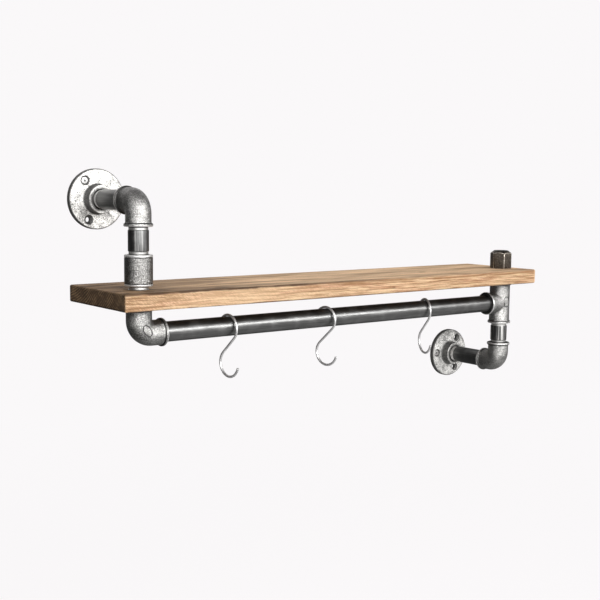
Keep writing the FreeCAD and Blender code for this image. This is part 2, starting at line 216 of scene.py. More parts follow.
class StageSettings(bpy.types.PropertyGroup):
    """Camera, floor and studio light"""
    eye: bpy.props.FloatVectorProperty(
        name="Camera place", description="Where the camera stands", unit="LENGTH", precision=5,
        default=(-652.44 * MM, -1298.78 * MM, 20.71 * MM))
    yaw: angle("Yaw", "Turn of the camera to the right of the wall's normal", 37.766)
    pitch: angle("Pitch", "How far the camera looks down", 6.224)
    roll: angle("Roll", "Lean of the camera", 0.609)
    lens: bpy.props.FloatProperty(name="Lens", description="Focal length", default=62.845, min=1.0,
                                  subtype="DISTANCE_CAMERA")
    floor: bpy.props.FloatProperty(name="Floor", description="Height of the studio floor", default=-1.0,
                                   unit="LENGTH")
    pale: colour("Background", "Colour of the pale background", 0.956, 0.939, 0.947)
    ambient: brightness("Ambient", "Strength of the even light from all round", 0.35)
    key: brightness("Front light", "Brightness of the large soft light in front", 3.5)
    strip: brightness("Strip lights", "Brightness of the strips that the metal reflects", 27.0)
    fill: brightness("Top light", "Brightness of the soft light from above", 2.0)


class ShelfSettings(bpy.types.PropertyGroup):
    """All settings of the pipe shelf"""
    pipe: group(PipeSettings, "Pipe")
    fitting: group(FittingSettings, "Fittings")
    flange: group(FlangeSettings, "Flanges")
    socket: group(SocketSettings, "Socket")
    cap: group(CapSettings, "Cap")
    board: group(BoardSettings, "Board")
    hook: group(HookSettings, "Hooks")
    stage: group(StageSettings, "Stage")


def shelf():
    """The shelf's settings."""
    return bpy.context.scene.pipe_shelf


# Modelling by hand

# Steps round a turned piece, a wide one and a drill, along a casting's bend and a hook's, and round
# the wire, a raised ring and a rounded corner
ROUND_STEPS = 64
WIDE_STEPS = 96
DRILL_STEPS = 40
BEND_STEPS = 20
HOOK_STEPS = 44
WIRE_STEPS = 20
RING_STEPS = 48
ARC_STEPS = 5
# Up to which angle faces are shaded as one, from which angle an edge is sharp, and how near points
# are welded
SMOOTH_ANGLE = math.radians(32)
SHARP_ANGLE = math.radians(60)
WELD_REACH = 0.002 * MM


def pick_nothing():
    if bpy.context.object and bpy.context.object.mode == "EDIT":
        bpy.ops.object.mode_set(mode="OBJECT")
    bpy.ops.object.select_all(action="DESELECT")


def pick(*pieces):
    """Selects these pieces and nothing else; the first is the active one."""
    pick_nothing()
    for piece in pieces:
        piece.select_set(True)
    bpy.context.view_layer.objects.active = pieces[0]


@contextmanager
def editing(piece, wanted=None, kind="VERT"):
    """Edit mode with those points selected that pass a test, or all of them."""
    pick(piece)
    mesh = piece.data
    if wanted:
        for part in (*mesh.polygons, *mesh.edges):
            part.select = False
        for vertex in mesh.vertices:
            vertex.select = wanted(vertex.co)
    bpy.context.tool_settings.mesh_select_mode = (True, False, False)
    bpy.ops.object.mode_set(mode="EDIT")
    if not wanted:
        bpy.ops.mesh.select_all(action="SELECT")
    bpy.ops.mesh.select_mode(type=kind)
    yield
    bpy.ops.object.mode_set(mode="OBJECT")


def rounded(*corners):
    """Points (x, z) of an outline; a corner that has a radius as its third number becomes an arc."""
    points = []
    for number, corner in enumerate(corners):
        here = Vector(corner[:2])
        if len(corner) == 2:
            points.append(here)
            continue
        before = (Vector(corners[number - 1][:2]) - here).normalized()
        after = (Vector(corners[(number + 1) % len(corners)][:2]) - here).normalized()
        half = before.angle(after) / 2
        middle = here + (before + after).normalized() * corner[2] / math.sin(half)
        start = here + before * corner[2] / math.tan(half) - middle
        end = here + after * corner[2] / math.tan(half) - middle
        turn = start.angle_signed(end)
        for step in range(ARC_STEPS + 1):
            points.append(middle + Matrix.Rotation(-turn * step / ARC_STEPS, 2) @ start)
    return points


def draw(name, outline):
    """A chain of edges through the points (x, z) of the XZ plane."""
    pick_nothing()
    bpy.ops.mesh.primitive_plane_add(size=MM, location=(0, 0, 0))
    piece = bpy.context.object
    piece.name = name
    with editing(piece):
        bpy.ops.mesh.merge(type="CENTER")
        pen = Vector((0, 0, 0))
        for number, (across, up) in enumerate(outline):
            step = Vector((across, 0, up)) - pen
            if number == 0:
                bpy.ops.transform.translate(value=step)
            else:
                bpy.ops.mesh.extrude_vertices_move(TRANSFORM_OT_translate={"value": step})
            pen += step
    return piece


def tidy(piece):
    """Welds points that lie together and turns all faces outwards."""
    with editing(piece):
        bpy.ops.mesh.remove_doubles(threshold=WELD_REACH)
        bpy.ops.mesh.normals_make_consistent(inside=False)
    return piece


def sweep(turn, centre, axis, steps):
    """Spins what is selected about an axis, right-handed; the operator itself turns the other way."""
    bpy.ops.mesh.spin(steps=steps, angle=-turn, center=centre, axis=axis)


def lathe(name, outline, steps=ROUND_STEPS):
    """An outline turned once about the Z axis."""
    piece = draw(name, outline)
    with editing(piece):
        sweep(math.tau, (0, 0, 0), Z, steps)
    return tidy(piece)


def closed(outline):
    """The outline, back to its first point."""
    return [*outline, outline[0]]


def rod(name, radius, low, high, steps=ROUND_STEPS):
    """A round bar about the Z axis."""
    return lathe(name, [(0, low), (radius, low), (radius, high), (0, high)], steps)


def copy_of(piece, name):
    pick(piece)
    bpy.ops.object.duplicate(linked=False)
    double = bpy.context.object
    double.name = name
    return double


def place(piece, matrix):
    """Moves a piece by a matrix and puts the place into its mesh."""
    pick(piece)
    bpy.context.view_layer.update()
    piece.matrix_world = matrix @ piece.matrix_world
    bpy.ops.object.transform_apply(location=True, rotation=True, scale=True)
    return piece


def join(*pieces):
    pick(*pieces)
    bpy.ops.object.join()
    return tidy(pieces[0])


def apply_modifier(piece, kind, **settings):
    """Adds one modifier with its settings and applies it."""
    pick(piece)
    modifier = piece.modifiers.new(kind.title(), kind)
    for name, value in settings.items():
        setattr(modifier, name, value)
    bpy.ops.object.modifier_apply(modifier=modifier.name)
    return piece


def combine(piece, operation, *tools):
    """Adds tools to a piece or cuts them from it, one after another."""
    for tool in tools:
        apply_modifier(piece, "BOOLEAN", object=tool, operation=operation, solver="EXACT")
        bpy.data.objects.remove(tool)
    return piece


def paint(piece, materials, choose=None):
    """Gives a piece its materials; choose says which of them a face takes from its centre and normal."""
    piece.data.materials.clear()
    for material in materials:
        piece.data.materials.append(material)
    for face in piece.data.polygons:
        face.material_index = choose(face.center, face.normal) if choose else 0


def finish(piece, node, body="root"):
    """Smooth shading, and the piece's place in the frame."""
    pick(piece)
    bpy.ops.object.shade_smooth_by_angle(angle=SMOOTH_ANGLE)
    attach(piece, body)
    if node:
        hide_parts(node)
    return piece


def looking(forward, across, at):
    """The matrix that lays local Z along forward and local X along across."""
    side = forward.cross(across)
    turned = Matrix((across, side, forward)).transposed().to_4x4()
    return Matrix.Translation(at) @ turned


def radial(point):
    return math.hypot(point.x, point.y)


def bevel_sharp_edges(piece, width, segments):
    """Rounds every edge at which two faces meet steeply."""
    with editing(piece, kind="EDGE"):
        bpy.ops.mesh.select_all(action="DESELECT")
        bpy.ops.mesh.edges_select_sharp(sharpness=SHARP_ANGLE)
        bpy.ops.mesh.bevel(offset=width, segments=segments, affect="EDGES")


# Finishes

# The size of a pattern is in millimetres. The numbers that go with a pattern in between() say at which
# of its values a layer starts and ends, and then how strong the layer is at either value. A number
# after a colour makes it darker, or lighter when it is above one.

class Nodes:
    """The node tree of a material or the world, built from nothing."""

    def __init__(self, owner):
        owner.use_nodes = True
        self.tree = owner.node_tree
        self.tree.nodes.clear()

    def add(self, kind, inputs=None, **settings):
        node = self.tree.nodes.new("ShaderNode" + kind)
        for name, value in settings.items():
            setattr(node, name, value)
        for name, value in (inputs or {}).items():
            self.feed(node.inputs[name], value)
        return node

    def feed(self, socket, value):
        if isinstance(value, bpy.types.NodeSocket):
            self.tree.links.new(value, socket)
        else:
            socket.default_value = value

    def calc(self, operation, *values):
        return self.add("Math", dict(enumerate(values)), operation=operation).outputs[0]

    def times(self, first, second):
        return self.calc("MULTIPLY", first, second)

    def plus(self, first, second):
        return self.calc("ADD", first, second)

    def less(self, first, second):
        return self.calc("SUBTRACT", first, second)

    def larger(self, first, second):
        return self.calc("MAXIMUM", first, second)

    def vector(self, operation, first, second, output=0):
        return self.add("VectorMath", {0: first, 1: second}, operation=operation).outputs[output]

    def between(self, value, low, high, start=0.0, end=1.0):
        """Start below low, end above high, with a smooth change between."""
        inputs = dict(enumerate((value, low, high, start, end)))
        return self.add("MapRange", inputs, interpolation_type="SMOOTHSTEP").outputs[0]

    def seen(self):
        """One for camera, glossy and transmission rays, and nought for the rest."""
        rays = self.add("LightPath").outputs
        return self.larger(self.larger(rays["Is Camera Ray"], rays["Is Glossy Ray"]),
                           rays["Is Transmission Ray"])


class Finish(Nodes):
    """One procedural material. Its patterns are laid out in millimetres of the shelf's own frame."""

    def __init__(self, name, **shader):
        self.material = bpy.data.materials.new(name)
        super().__init__(self.material)
        constants = {socket.replace("_", " "): value for socket, value in shader.items()}
        self.shader = self.add("BsdfPrincipled", constants)
        self.add("OutputMaterial", {"Surface": self.shader.outputs["BSDF"]})
        place = self.add("TexCoord").outputs["Object"]
        self.place = self.add("Mapping", {"Vector": place, "Scale": (1 / MM,) * 3}).outputs[0]

    def stretched(self, cell, shift=0.0, source=None):
        """The place counted in cells of a size in millimetres, one size for each axis."""
        sizes = cell if isinstance(cell, tuple) else (cell,) * 3
        return self.add("Mapping", {"Vector": source or self.place, "Location": (shift,) * 3,
                                    "Scale": tuple(1 / size for size in sizes)}).outputs[0]

    def noise(self, cell, detail=2.0, rough=0.5, shift=0.0, output="Fac", source=None):
        vector = self.stretched(cell, shift, source)
        return self.add("TexNoise", {"Vector": vector, "Scale": 1.0, "Detail": detail,
                                     "Roughness": rough}).outputs[output]

    def spots(self, cell, shift=0.0):
        """Distance from the nearest of scattered points, in cells."""
        vector = self.stretched(cell, shift)
        return self.add("TexVoronoi", {"Vector": vector, "Scale": 1.0}).outputs["Distance"]

    def mix(self, share, first, second):
        node = self.add("Mix", {0: share}, data_type="RGBA")
        for socket, tone in ((node.inputs[6], first), (node.inputs[7], second)):
            self.feed(socket, tone if isinstance(tone, bpy.types.NodeSocket) else (*tone, 1.0))
        return node.outputs[2]

    def begin(self, share, tone, first, second):
        """Starts the finish with two shades of one colour, mixed by a share."""
        self.tone = self.mix(share, shade(tone, first), shade(tone, second))

    def lay(self, share, tone, strength=1.0):
        """Lays a shade of a colour over the finish, as far as the share says."""
        self.tone = self.mix(share, self.tone, shade(tone, strength))

    def bump(self, height, millimetres):
        node = self.add("Bump", {"Strength": 1.0, "Distance": millimetres * MM, "Height": height})
        self.feed(self.shader.inputs["Normal"], node.outputs[0])

    def cast_grain(self, cell, depth):
        """The bumps of a sand-cast skin; gives back the height of its grains, on average 0.5."""
        grains = self.noise(cell, 2.0, 0.6)
        fine = self.noise(cell * 0.45, 1.0, 0.5, 5.0)
        self.bump(self.plus(grains, self.times(fine, 0.35)), depth)
        return grains

    def done(self, roughness):
        self.feed(self.shader.inputs["Base Color"], self.tone)
        self.feed(self.shader.inputs["Roughness"], roughness)
        return self.material


def shade(tone, share):
    """A lighter or darker tone of a colour."""
    return tuple(min(1.0, part * share) for part in tone)


def made_once(build):
    """A finish is built once for each set of arguments and then shared."""
    kept = {}

    def get(*key):
        if key not in kept:
            kept[key] = build(*key)
        return kept[key]
    return get


@made_once
def drawn_steel(axis):
    """Dark drawn pipe with faint streaks along its axis, rubbed patches and small scratches; upright
    pipes are a fifth darker as painted shade and carry bright upright streaks, strongest low down, as
    painted reflection.
    """
    settings = shelf().pipe
    skin = Finish("drawn_steel_" + axis, Metallic=1.0)

    def drawn_out(across, along):
        return tuple(along if letter == axis else across for letter in "xyz")
    streak = skin.noise(drawn_out(1.0, 60.0), 3.0, 0.6)
    scratch = skin.between(skin.noise(drawn_out(0.35, 14.0), 1.0, 0.5, 7.0), 0.70, 0.78)
    cloud = skin.noise(22.0, 3.0, 0.55, 3.0)
    speck = skin.between(skin.spots(2.6, 1.0), 0.10, 0.20, 1.0, 0.0)
    skin.begin(skin.between(streak, 0.35, 0.7), settings.steel, 0.78, 1.22)
    skin.lay(skin.between(cloud, 0.45, 0.75, 0.0, 0.6), settings.steel, 1.5)
    skin.lay(skin.times(scratch, 0.35), settings.cut_steel, 0.7)
    if axis == "z":
        # Upright pipes: darkened by a fifth as painted shade, and given bright upright streaks,
        # strongest low down, as painted reflection
        height = skin.add("SeparateXYZ", {"Vector": skin.place}).outputs[2]
        drag_and_reflection = skin.between(skin.noise(drawn_out(2.6, 90.0), 2.0, 0.6, 5.0), 0.55, 0.61)
        drag_and_reflection = skin.times(drag_and_reflection, skin.between(height, -200.0, -120.0, 1.0, 0.4))
        skin.lay(0.2, settings.steel, 0.0)
        skin.lay(drag_and_reflection, settings.cut_steel, 0.9)
    skin.lay(skin.times(speck, 0.5), settings.steel, 0.4)
    skin.bump(skin.plus(streak, skin.times(cloud, 0.5)), 0.05)
    return skin.done(skin.between(cloud, 0.3, 0.75, 0.29, 0.40))


@made_once
def cut_steel(at_wall):
    """Bright steel with fine turning marks; the necks at the wall are duller and paler, their pale tone
    a painted highlight.
    """
    settings = shelf().pipe
    # At the wall the neck is less metallic and nearly twice as pale, a painted highlight that stands in
    # for the light it reflects
    name, metallic, pale = ("cut_steel_wall", 0.2, 1.9) if at_wall else ("cut_steel", 0.6, 1.0)
    skin = Finish(name, Metallic=metallic)
    marks = skin.noise(0.8, 3.0, 0.6)
    skin.begin(skin.between(marks, 0.3, 0.7), settings.cut_steel, 0.82 * pale, pale)
    dirt_and_shade = skin.between(skin.noise(3.5, 3.0, 0.6, 4.0), 0.5, 0.72, 0.0, 0.7)
    skin.lay(dirt_and_shade, settings.steel, 1.6 * pale)
    skin.bump(marks, 0.06)
    return skin.done(skin.between(marks, 0.3, 0.7, 0.28, 0.42))


def cast_skin(name, tone, cell, contrast, depth, rough, metallic=1.0):
    """A sand-cast skin: rubbed bright tops, dark hollows and slow changes of tone."""
    skin = Finish(name, Metallic=metallic)
    grains = skin.cast_grain(cell, depth)
    skin.begin(skin.between(skin.noise(cell * 9, 2.0, 0.5, 9.0), 0.35, 0.65), tone, 0.76, 1.16)
    skin.lay(skin.between(grains, 0.50, 0.66, 0.0, contrast), tone, 1.8)
    skin.lay(skin.between(grains, 0.36, 0.50, contrast, 0.0), tone, 0.35)
    return skin.done(skin.between(grains, 0.3, 0.7, rough + 0.06, rough - 0.03))


@made_once
def fitting_iron():
    settings = shelf().fitting
    return cast_skin("fitting_iron", settings.iron, settings.grain / MM,
                     contrast=0.70, depth=0.85, rough=0.31)


# Worn bead, made pale and less metallic as a painted highlight as well; the socket's bands take it too
@made_once
def bead_iron():
    settings = shelf().fitting
    return cast_skin("bead_iron", settings.bead, settings.grain / MM * 0.8,
                     contrast=0.35, depth=0.15, rough=0.34, metallic=0.38)


# Painted shade: a near-black iron for faces where shade falls, inside the mouths, on a bead's end face
# and root, in grooves, in the screw's cross, on the raised rings and on the necks next to a fitting
@made_once
def mouth_iron():
    settings = shelf().fitting
    return cast_skin("mouth_iron", settings.shade_face, settings.grain / MM * 0.6,
                     contrast=0.3, depth=0.2, rough=0.46)


@made_once
def socket_iron():
    return cast_skin("socket_iron", shelf().socket.iron, shelf().fitting.grain / MM * 0.9,
                     contrast=0.6, depth=0.7, rough=0.33)


@made_once
def cap_oxide():
    return cast_skin("cap_oxide", shelf().cap.oxide, 1.8, contrast=0.75, depth=0.6, rough=0.40)


# The way in which each flange turns paler, and how much paler for each millimetre: the upper one towards
# its upper left, the lower one towards its bottom, where the paler tone is painted light that makes up
# for the weaker reflection there
UPPER_LEAN, LOWER_LIGHT_LEAN = (0.0010, 0.0, -0.0013), (0.0, 0.0, 0.0036)


@made_once
def flange_iron(node, turn):
    """A pale blotched casting; painted shade lies at the hub's foot, on the hub's face round its mouth,
    round the holes and on the outer edge, and the lower flange is paler towards its bottom as painted
    light.
    """
    settings = shelf().flange
    low, high = (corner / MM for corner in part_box(node))
    middle = (low + high) / 2
    radius = (high.x - low.x) / 2
    skin = Finish("flange_iron_" + node, Metallic=0.9)
    grains = skin.cast_grain(1.6, 0.5)
    patch = skin.noise(16.0, 2.0, 0.5, 6.0)
    speck = skin.noise(1.5, 2.0, 0.7, 3.0)
    # Painted light: the lower flange is made paler towards its bottom, where it reflects less of the
    # strip lights
    lean = UPPER_LEAN if middle.z > -radius else LOWER_LIGHT_LEAN
    slope = skin.vector("DOT_PRODUCT", skin.place, lean, "Value")
    clean_and_lit = skin.less(skin.plus(speck, Vector(lean).dot(middle) + 0.075), slope)
    clean_and_lit = skin.plus(clean_and_lit, skin.times(skin.less(patch, 0.5), 0.5))
    skin.begin(skin.between(skin.noise(9.0, 2.0, 0.5, 12.0), 0.38, 0.62), settings.iron, 0.66, 1.12)
    skin.lay(skin.between(clean_and_lit, 0.43, 0.53, 1.0, 0.0), settings.iron, 0.24)
    skin.lay(skin.between(skin.noise(1.6, 2.0, 0.6, 8.0), 0.57, 0.62, 0.0, 0.9), settings.iron, 0.04)
    skin.lay(skin.between(grains, 0.54, 0.68, 0.0, 0.6), settings.iron, 1.7)

    flat = skin.vector("MULTIPLY", skin.place, (1.0, 0.0, 1.0))

    def away_from(x, z):
        return skin.vector("DISTANCE", flat, (x, 0.0, z), "Value")
    from_axis = away_from(middle.x, middle.z)
    hub, sink = settings.hub / MM, settings.sink / 2 / MM
    # Painted shade: dark rings at the hub's foot, on the hub's face next to the mouth, on the plate's
    # outer edge and round each countersink
    dirt_and_shade = skin.times(skin.between(from_axis, hub - 1.0, hub - 0.2),
                      skin.between(from_axis, hub + 1.0, hub + 3.0, 0.85, 0.0))
    dirt_and_shade = skin.larger(dirt_and_shade, skin.between(from_axis, hub - 3.4, hub - 2.4, 0.75, 0.0))
    dirt_and_shade = skin.larger(dirt_and_shade, skin.between(from_axis, radius - 2.0, radius - 1.0, 0.0, 0.85))
    for hole in screw_holes(settings, turn):
        at = hole.translation / MM
        from_hole = away_from(middle.x + at.x, middle.z + at.y)
        dirt_and_shade = skin.larger(dirt_and_shade, skin.between(from_hole, sink + 0.1, sink + 1.1, 0.9, 0.0))
    skin.lay(skin.times(dirt_and_shade, skin.between(speck, 0.25, 0.50, 0.6, 1.0)), settings.iron, 0.12)
    return skin.done(skin.between(clean_and_lit, 0.35, 0.65, 0.70, 0.58))


@made_once
def rubbed_edge():
    """Bare metal with what is left of the oxide, on the cap's edges as wear and painted highlight."""
    settings = shelf().cap
    skin = Finish("rubbed_edge", Metallic=1.0)
    patch = skin.between(skin.noise(2.2, 3.0, 0.6), 0.36, 0.58)
    skin.tone = skin.mix(patch, shade(settings.oxide, 1.4), settings.rubbed)
    skin.bump(patch, 0.05)
    return skin.done(skin.between(patch, 0.0, 1.0, 0.5, 0.34))


@made_once
def plated_wire():
    steel = shelf().hook.steel
    skin = Finish("plated_wire", Metallic=0.6)
    cloud = skin.noise(14.0, 3.0, 0.55)
    speck = skin.between(skin.spots(1.6, 3.0), 0.10, 0.22, 1.0, 0.0)
    skin.begin(skin.between(cloud, 0.35, 0.7), steel, 0.86, 1.0)
    skin.lay(skin.times(speck, 0.15), steel, 0.45)
    skin.bump(cloud, 0.01)
    return skin.done(skin.between(cloud, 0.3, 0.7, 0.36, 0.42))


@made_once
def plated_screw():
    skin = Finish("plated_screw", Metallic=0.2)
    cloud = skin.noise(1.5, 3.0, 0.55)
    skin.begin(skin.between(cloud, 0.4, 0.7), shelf().flange.screw_steel, 0.7, 1.0)
    skin.bump(cloud, 0.04)
    return skin.done(skin.between(cloud, 0.3, 0.7, 0.26, 0.40))


# Where the pith lies from the middle of the board's underside, and the knots: x, y, z and radius,
# all in millimetres
PITH_OFFSET = Vector((0.0, 106.0, 142.0))
KNOTS = ((399.6, -167.0, -126.3, 3.2), (391.8, -167.0, -131.9, 1.9), (514.2, -110.2, -113.0, 5.0))
# How much a distance from a knot counts along each axis: a knot is longer along the grain
KNOT_SHAPE = (0.6, 0.9, 0.9)
# The slant of the saw marks on the front
SAW_SLANT = math.radians(-36)


class Wood(Finish):
    """Sawn pine: growth rings about a distant pith, long fibres, knots, staining along the edges and
    painted shade on the underside.
    """

    def drift(self, cell, shift, spread):
        """A slow wander across the grain, in millimetres."""
        wave = self.noise(cell, 2.0, 0.5, shift, "Color")
        return self.vector("MULTIPLY", self.vector("SUBTRACT", wave, (0.5, 0.5, 0.5)), spread)

    def lay_grain(self, settings, low, high):
        """The patterns that every face of the board shares."""
        self.split = self.add("SeparateXYZ", {"Vector": self.place}).outputs
        self.from_left = self.less(self.split[0], low.x)
        wander = self.drift((260.0, 80.0, 80.0), 11.0, (0.0, 30.0, 22.0))
        ripple = self.drift((40.0, 12.0, 12.0), 2.0, (0.0, 1.6, 1.4))
        self.bent = self.vector("ADD", self.vector("ADD", self.place, wander), ripple)
        pith = (0.0, (low.y + high.y) / 2 + PITH_OFFSET.y, low.z + PITH_OFFSET.z)
        spoke = self.vector("MULTIPLY", self.vector("SUBTRACT", self.bent, pith), (0.0, 1.0, 1.0))
        distance = self.vector("LENGTH", spoke, spoke, "Value")
        phase = self.calc("FRACT", self.calc("DIVIDE", distance, settings.ring / MM))
        self.late = self.times(self.between(phase, 0.30, 0.80),
                               self.between(phase, 0.86, 1.0, 1.0, 0.0))
        self.fibre = self.noise((40.0, 0.9, 0.9), 4.0, 0.62, 1.0)
        self.pores = self.noise((5.0, 0.5, 0.5), 2.0, 0.6, 8.0)
        self.cloud = self.noise((110.0, 14.0, 9.0), 2.0, 0.5, 6.0)
        self.streak = self.noise((210.0, 34.0, 14.0), 3.0, 0.62, 14.0)
        self.patch = self.noise((80.0, 15.0, 7.0), 3.0, 0.6, 21.0)
        self.line = self.noise((60.0, 2.6, 2.2), 3.0, 0.6, 26.0)
        self.blotch = self.noise((170.0, 17.0, 17.0), 3.0, 0.60, 41.0, source=self.bent)
        self.grime = self.noise((60.0, 12.0, 12.0), 2.0, 0.6, 51.0)
        slanted = self.add("Mapping", {"Vector": self.place, "Rotation": (0.0, SAW_SLANT, 0.0)})
        self.saw = self.noise((7.0, 7.0, 1.2), 2.0, 0.6, 17.0, source=slanted.outputs[0])

    def front_tone(self, settings, high):
        """The planed front: saw marks fade out to the right, where the fibres show."""
        hatch = self.between(self.from_left, 60.0, 420.0, 1.0, 0.35)
        fibres = self.between(self.from_left, 250.0, 600.0, 0.75, 1.0)
        self.tone = self.mix(self.between(self.cloud, 0.42, 0.66), settings.front, settings.blush)
        self.lay(self.times(self.late, 0.40), settings.late)
        self.lay(self.times(self.between(self.saw, 0.48, 0.62, 0.0, 0.75), hatch), settings.front, 1.25)
        self.lay(self.times(self.between(self.saw, 0.34, 0.50, 0.50, 0.0), hatch), settings.late)
        self.lay(self.times(self.between(self.line, 0.50, 0.62), fibres), settings.late, 0.8)
        pale_line = self.between(self.line, 0.36, 0.50, 1.0, 0.0)
        self.lay(self.times(pale_line, fibres), settings.front, 1.35)
        near_top = self.between(self.less(high.z, self.split[2]), 2.0, 11.0, 0.55, 0.0)
        self.lay(self.times(near_top, self.between(self.patch, 0.40, 0.60)), settings.late, 0.8)
        rubbed = self.times(self.between(self.from_left, 40.0, 130.0),
                            self.between(self.from_left, 150.0, 340.0, 0.4, 0.0))
        self.lay(rubbed, settings.front, 1.25)
        self.lay(self.between(self.from_left, 360.0, 640.0, 0.04, 0.16), settings.late)
        self.lay(self.between(self.pores, 0.60, 0.78, 0.0, 0.6), settings.late, 0.45)
        return self.tone

    def top_tone(self, settings):
        """The weathered top, with long stains; it is darker towards its left end, with dark and pale
        lines there.
        """
        dark = settings.top_dark
        self.begin(self.between(self.patch, 0.36, 0.66), settings.top, 1.0, 0.78)
        self.lay(self.times(self.late, 0.25), dark, 1.6)
        self.lay(self.between(self.blotch, 0.50, 0.68, 0.0, 0.80), dark, 1.3)
        self.lay(self.between(self.streak, 0.52, 0.66, 0.0, 0.6), dark)
        self.lay(self.between(self.blotch, 0.34, 0.50, 0.7, 0.0), settings.front, 1.15)
        self.lay(self.between(self.fibre, 0.48, 0.68, 0.0, 0.55), dark, 1.2)
        wobble = self.times(self.less(self.blotch, 0.5), -300.0)
        near = self.between(self.plus(self.from_left, wobble), 30.0, 320.0, 1.0, 0.0)
        self.lay(self.times(near, 0.90), dark)
        self.lay(self.times(near, self.between(self.grime, 0.50, 0.64, 0.0, 0.8)), dark, 0.3)
        self.lay(self.times(near, self.between(self.grime, 0.34, 0.48, 0.6, 0.0)), settings.top, 0.45)
        return self.tone

    def end_tone(self, settings):
        """Stained end grain, with its growth rings."""
        self.tone = self.mix(self.late, shade(settings.end, 1.25), shade(settings.stain_and_shade, 0.3))
        self.lay(self.between(self.blotch, 0.40, 0.60, 0.0, 0.5), settings.end, 1.1)
        self.lay(self.between(self.patch, 0.40, 0.60, 0.0, 0.6), settings.stain_and_shade, 0.7)
        return self.tone

    def shade_and_stain_edges(self, settings, low, high, height):
        """Painted shade on the underside, dark staining along the front's upper arris, and a dark line
        low on the front.
        """
        # Painted shade: the underside is darkened almost to black-brown
        self.lay(self.between(height, low.z + 0.2, low.z + 1.1, 0.95, 0.0), settings.stain_and_shade, 1.1)
        near_front = self.between(self.less(self.split[1], low.y), 2.0, 7.0, 1.0, 0.0)
        near_top = self.between(height, high.z - 3.2, high.z - 2.0)
        firm = self.between(self.noise(60.0, 2.0, 0.5, 31.0), 0.38, 0.56, 0.65, 0.95)
        fading = self.between(self.from_left, 260.0, 520.0, 1.0, 0.35)
        self.lay(self.times(self.times(near_front, near_top), self.times(firm, fading)),
                 settings.stain_and_shade, 1.3)
        low_line = self.between(height, low.z + 1.0, low.z + 2.2, 0.65, 0.0)
        self.lay(self.times(low_line, self.between(self.from_left, 120.0, 240.0)), settings.stain_and_shade, 1.6)

    def lay_ends(self, settings, low, high, end):
        """End grain on both ends, with a frayed pale edge at the right one and a dark lower arris."""
        fray = self.times(self.less(self.fibre, 0.5), 3.0)
        from_right = self.less(high.x, self.split[0])
        self.lay(self.between(self.plus(from_right, fray), 2.0, 5.0, 0.7, 0.0), settings.front, 1.2)
        at_end = self.larger(self.between(self.plus(self.from_left, fray), 0.5, 2.0, 1.0, 0.0),
                             self.between(from_right, 0.5, 1.4, 1.0, 0.0))
        self.tone = self.mix(at_end, self.tone, end)
        low_arris = self.between(self.less(self.split[2], low.z), 1.4, 3.2, 1.0, 0.0)
        self.lay(self.times(at_end, low_arris), settings.stain_and_shade, 0.2)

    def lay_knots(self, settings):
        for x, y, z, radius in KNOTS:
            off = self.vector("SUBTRACT", self.bent, (x, y, z))
            off = self.vector("MULTIPLY", off, KNOT_SHAPE)
            away = self.vector("LENGTH", off, off, "Value")
            self.lay(self.between(away, radius * 0.55, radius * 1.2, 0.85, 0.0), settings.late, 0.30)


@made_once
def pine():
    settings = shelf().board
    low, high = (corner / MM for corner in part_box("shelf_board"))
    wood = Wood("pine", Specular_IOR_Level=0.12)
    wood.lay_grain(settings, low, high)
    ragged = wood.times(wood.less(wood.noise((26.0, 3.0, 3.0), 3.0, 0.6, 4.0), 0.5), 3.4)
    height = wood.plus(wood.split[2], ragged)
    front, top, end = wood.front_tone(settings, high), wood.top_tone(settings), wood.end_tone(settings)
    wood.tone = wood.mix(wood.between(height, high.z - 1.7, high.z - 0.7), front, top)
    wood.shade_and_stain_edges(settings, low, high, height)
    wood.lay_ends(settings, low, high, end)
    wood.lay_knots(settings)
    relief = wood.plus(wood.times(wood.late, 0.6), wood.saw)
    wood.bump(wood.less(relief, wood.between(wood.pores, 0.58, 0.8, 0.0, 0.5)), 0.5)
    return wood.done(wood.between(wood.fibre, 0.3, 0.7, 0.55, 0.70))


# The pieces

LAY = {"x": looking(X, Y, Vector()), "y": looking(Y, X, Vector()), "z": looking(Z, X, Vector())}
PIPES = ("upper_wall_nipple", "upper_drop_nipple", "left_board_nipple", "rail_pipe",
         "right_board_nipple", "lower_drop_nipple", "lower_wall_nipple")
THREAD_STEPS = 48
# One turn of a thread: how far along the pitch, and how high over the root
THREAD_PROFILE = ((0.0, 0), (0.08, 0), (0.46, 1), (0.62, 1), (1.0, 0))
# Turns of thread that lie below the end at which it is cut off square
THREAD_LEAD = 1.37
# What a turning tool leaves in a corner
TOOL_ROUND = 0.3 * MM
# How far a thread reaches into the pipe's body, so that the two join
OVERLAP = 0.1 * MM
# Where the hollow beside a bead begins, below the bead
FLARE_STEP = 0.6 * MM
# Room for error when a face's paint is chosen by its place
PAINT_MARGIN = 0.2 * MM
# Cosines of a face that looks out of a mouth, and of one that looks back from a bead; such faces take
# painted shade
OUTWARD, BACKWARD = 0.9, -0.5
# The worn band of a bead, lightened also as painted highlight: the share of its height at which it
# begins, and its width in roundings, on a mouth in the open and on one that faces the wall
WORN_FOOT = 0.6
WORN, WORN_AT_WALL = 1.1, 1.6


def thread_rod(settings, height):
    """A solid bar with a screw thread cut along it, from z = 0 up to a height."""
    root = settings.outer / 2 - settings.step - settings.height
    pitch = settings.pitch
    bar = draw("thread", [(root + up * settings.height, along * pitch) for along, up in THREAD_PROFILE])
    turns = math.ceil(height / pitch) + 2
    apply_modifier(bar, "SCREW", axis="Z", angle=math.tau, steps=THREAD_STEPS,
                   render_steps=THREAD_STEPS, screw_offset=pitch, iterations=turns)
    tidy(bar)
    place(bar, Matrix.Translation((0, 0, -THREAD_LEAD * pitch)))
    for level, upward in ((0.0, -1.0), (height, 1.0)):
        with editing(bar):
            bpy.ops.mesh.bisect(plane_co=(0, 0, level), plane_no=(0, 0, upward), use_fill=True,
                                clear_outer=True, threshold=0.01 * HAIR)
    return tidy(bar)


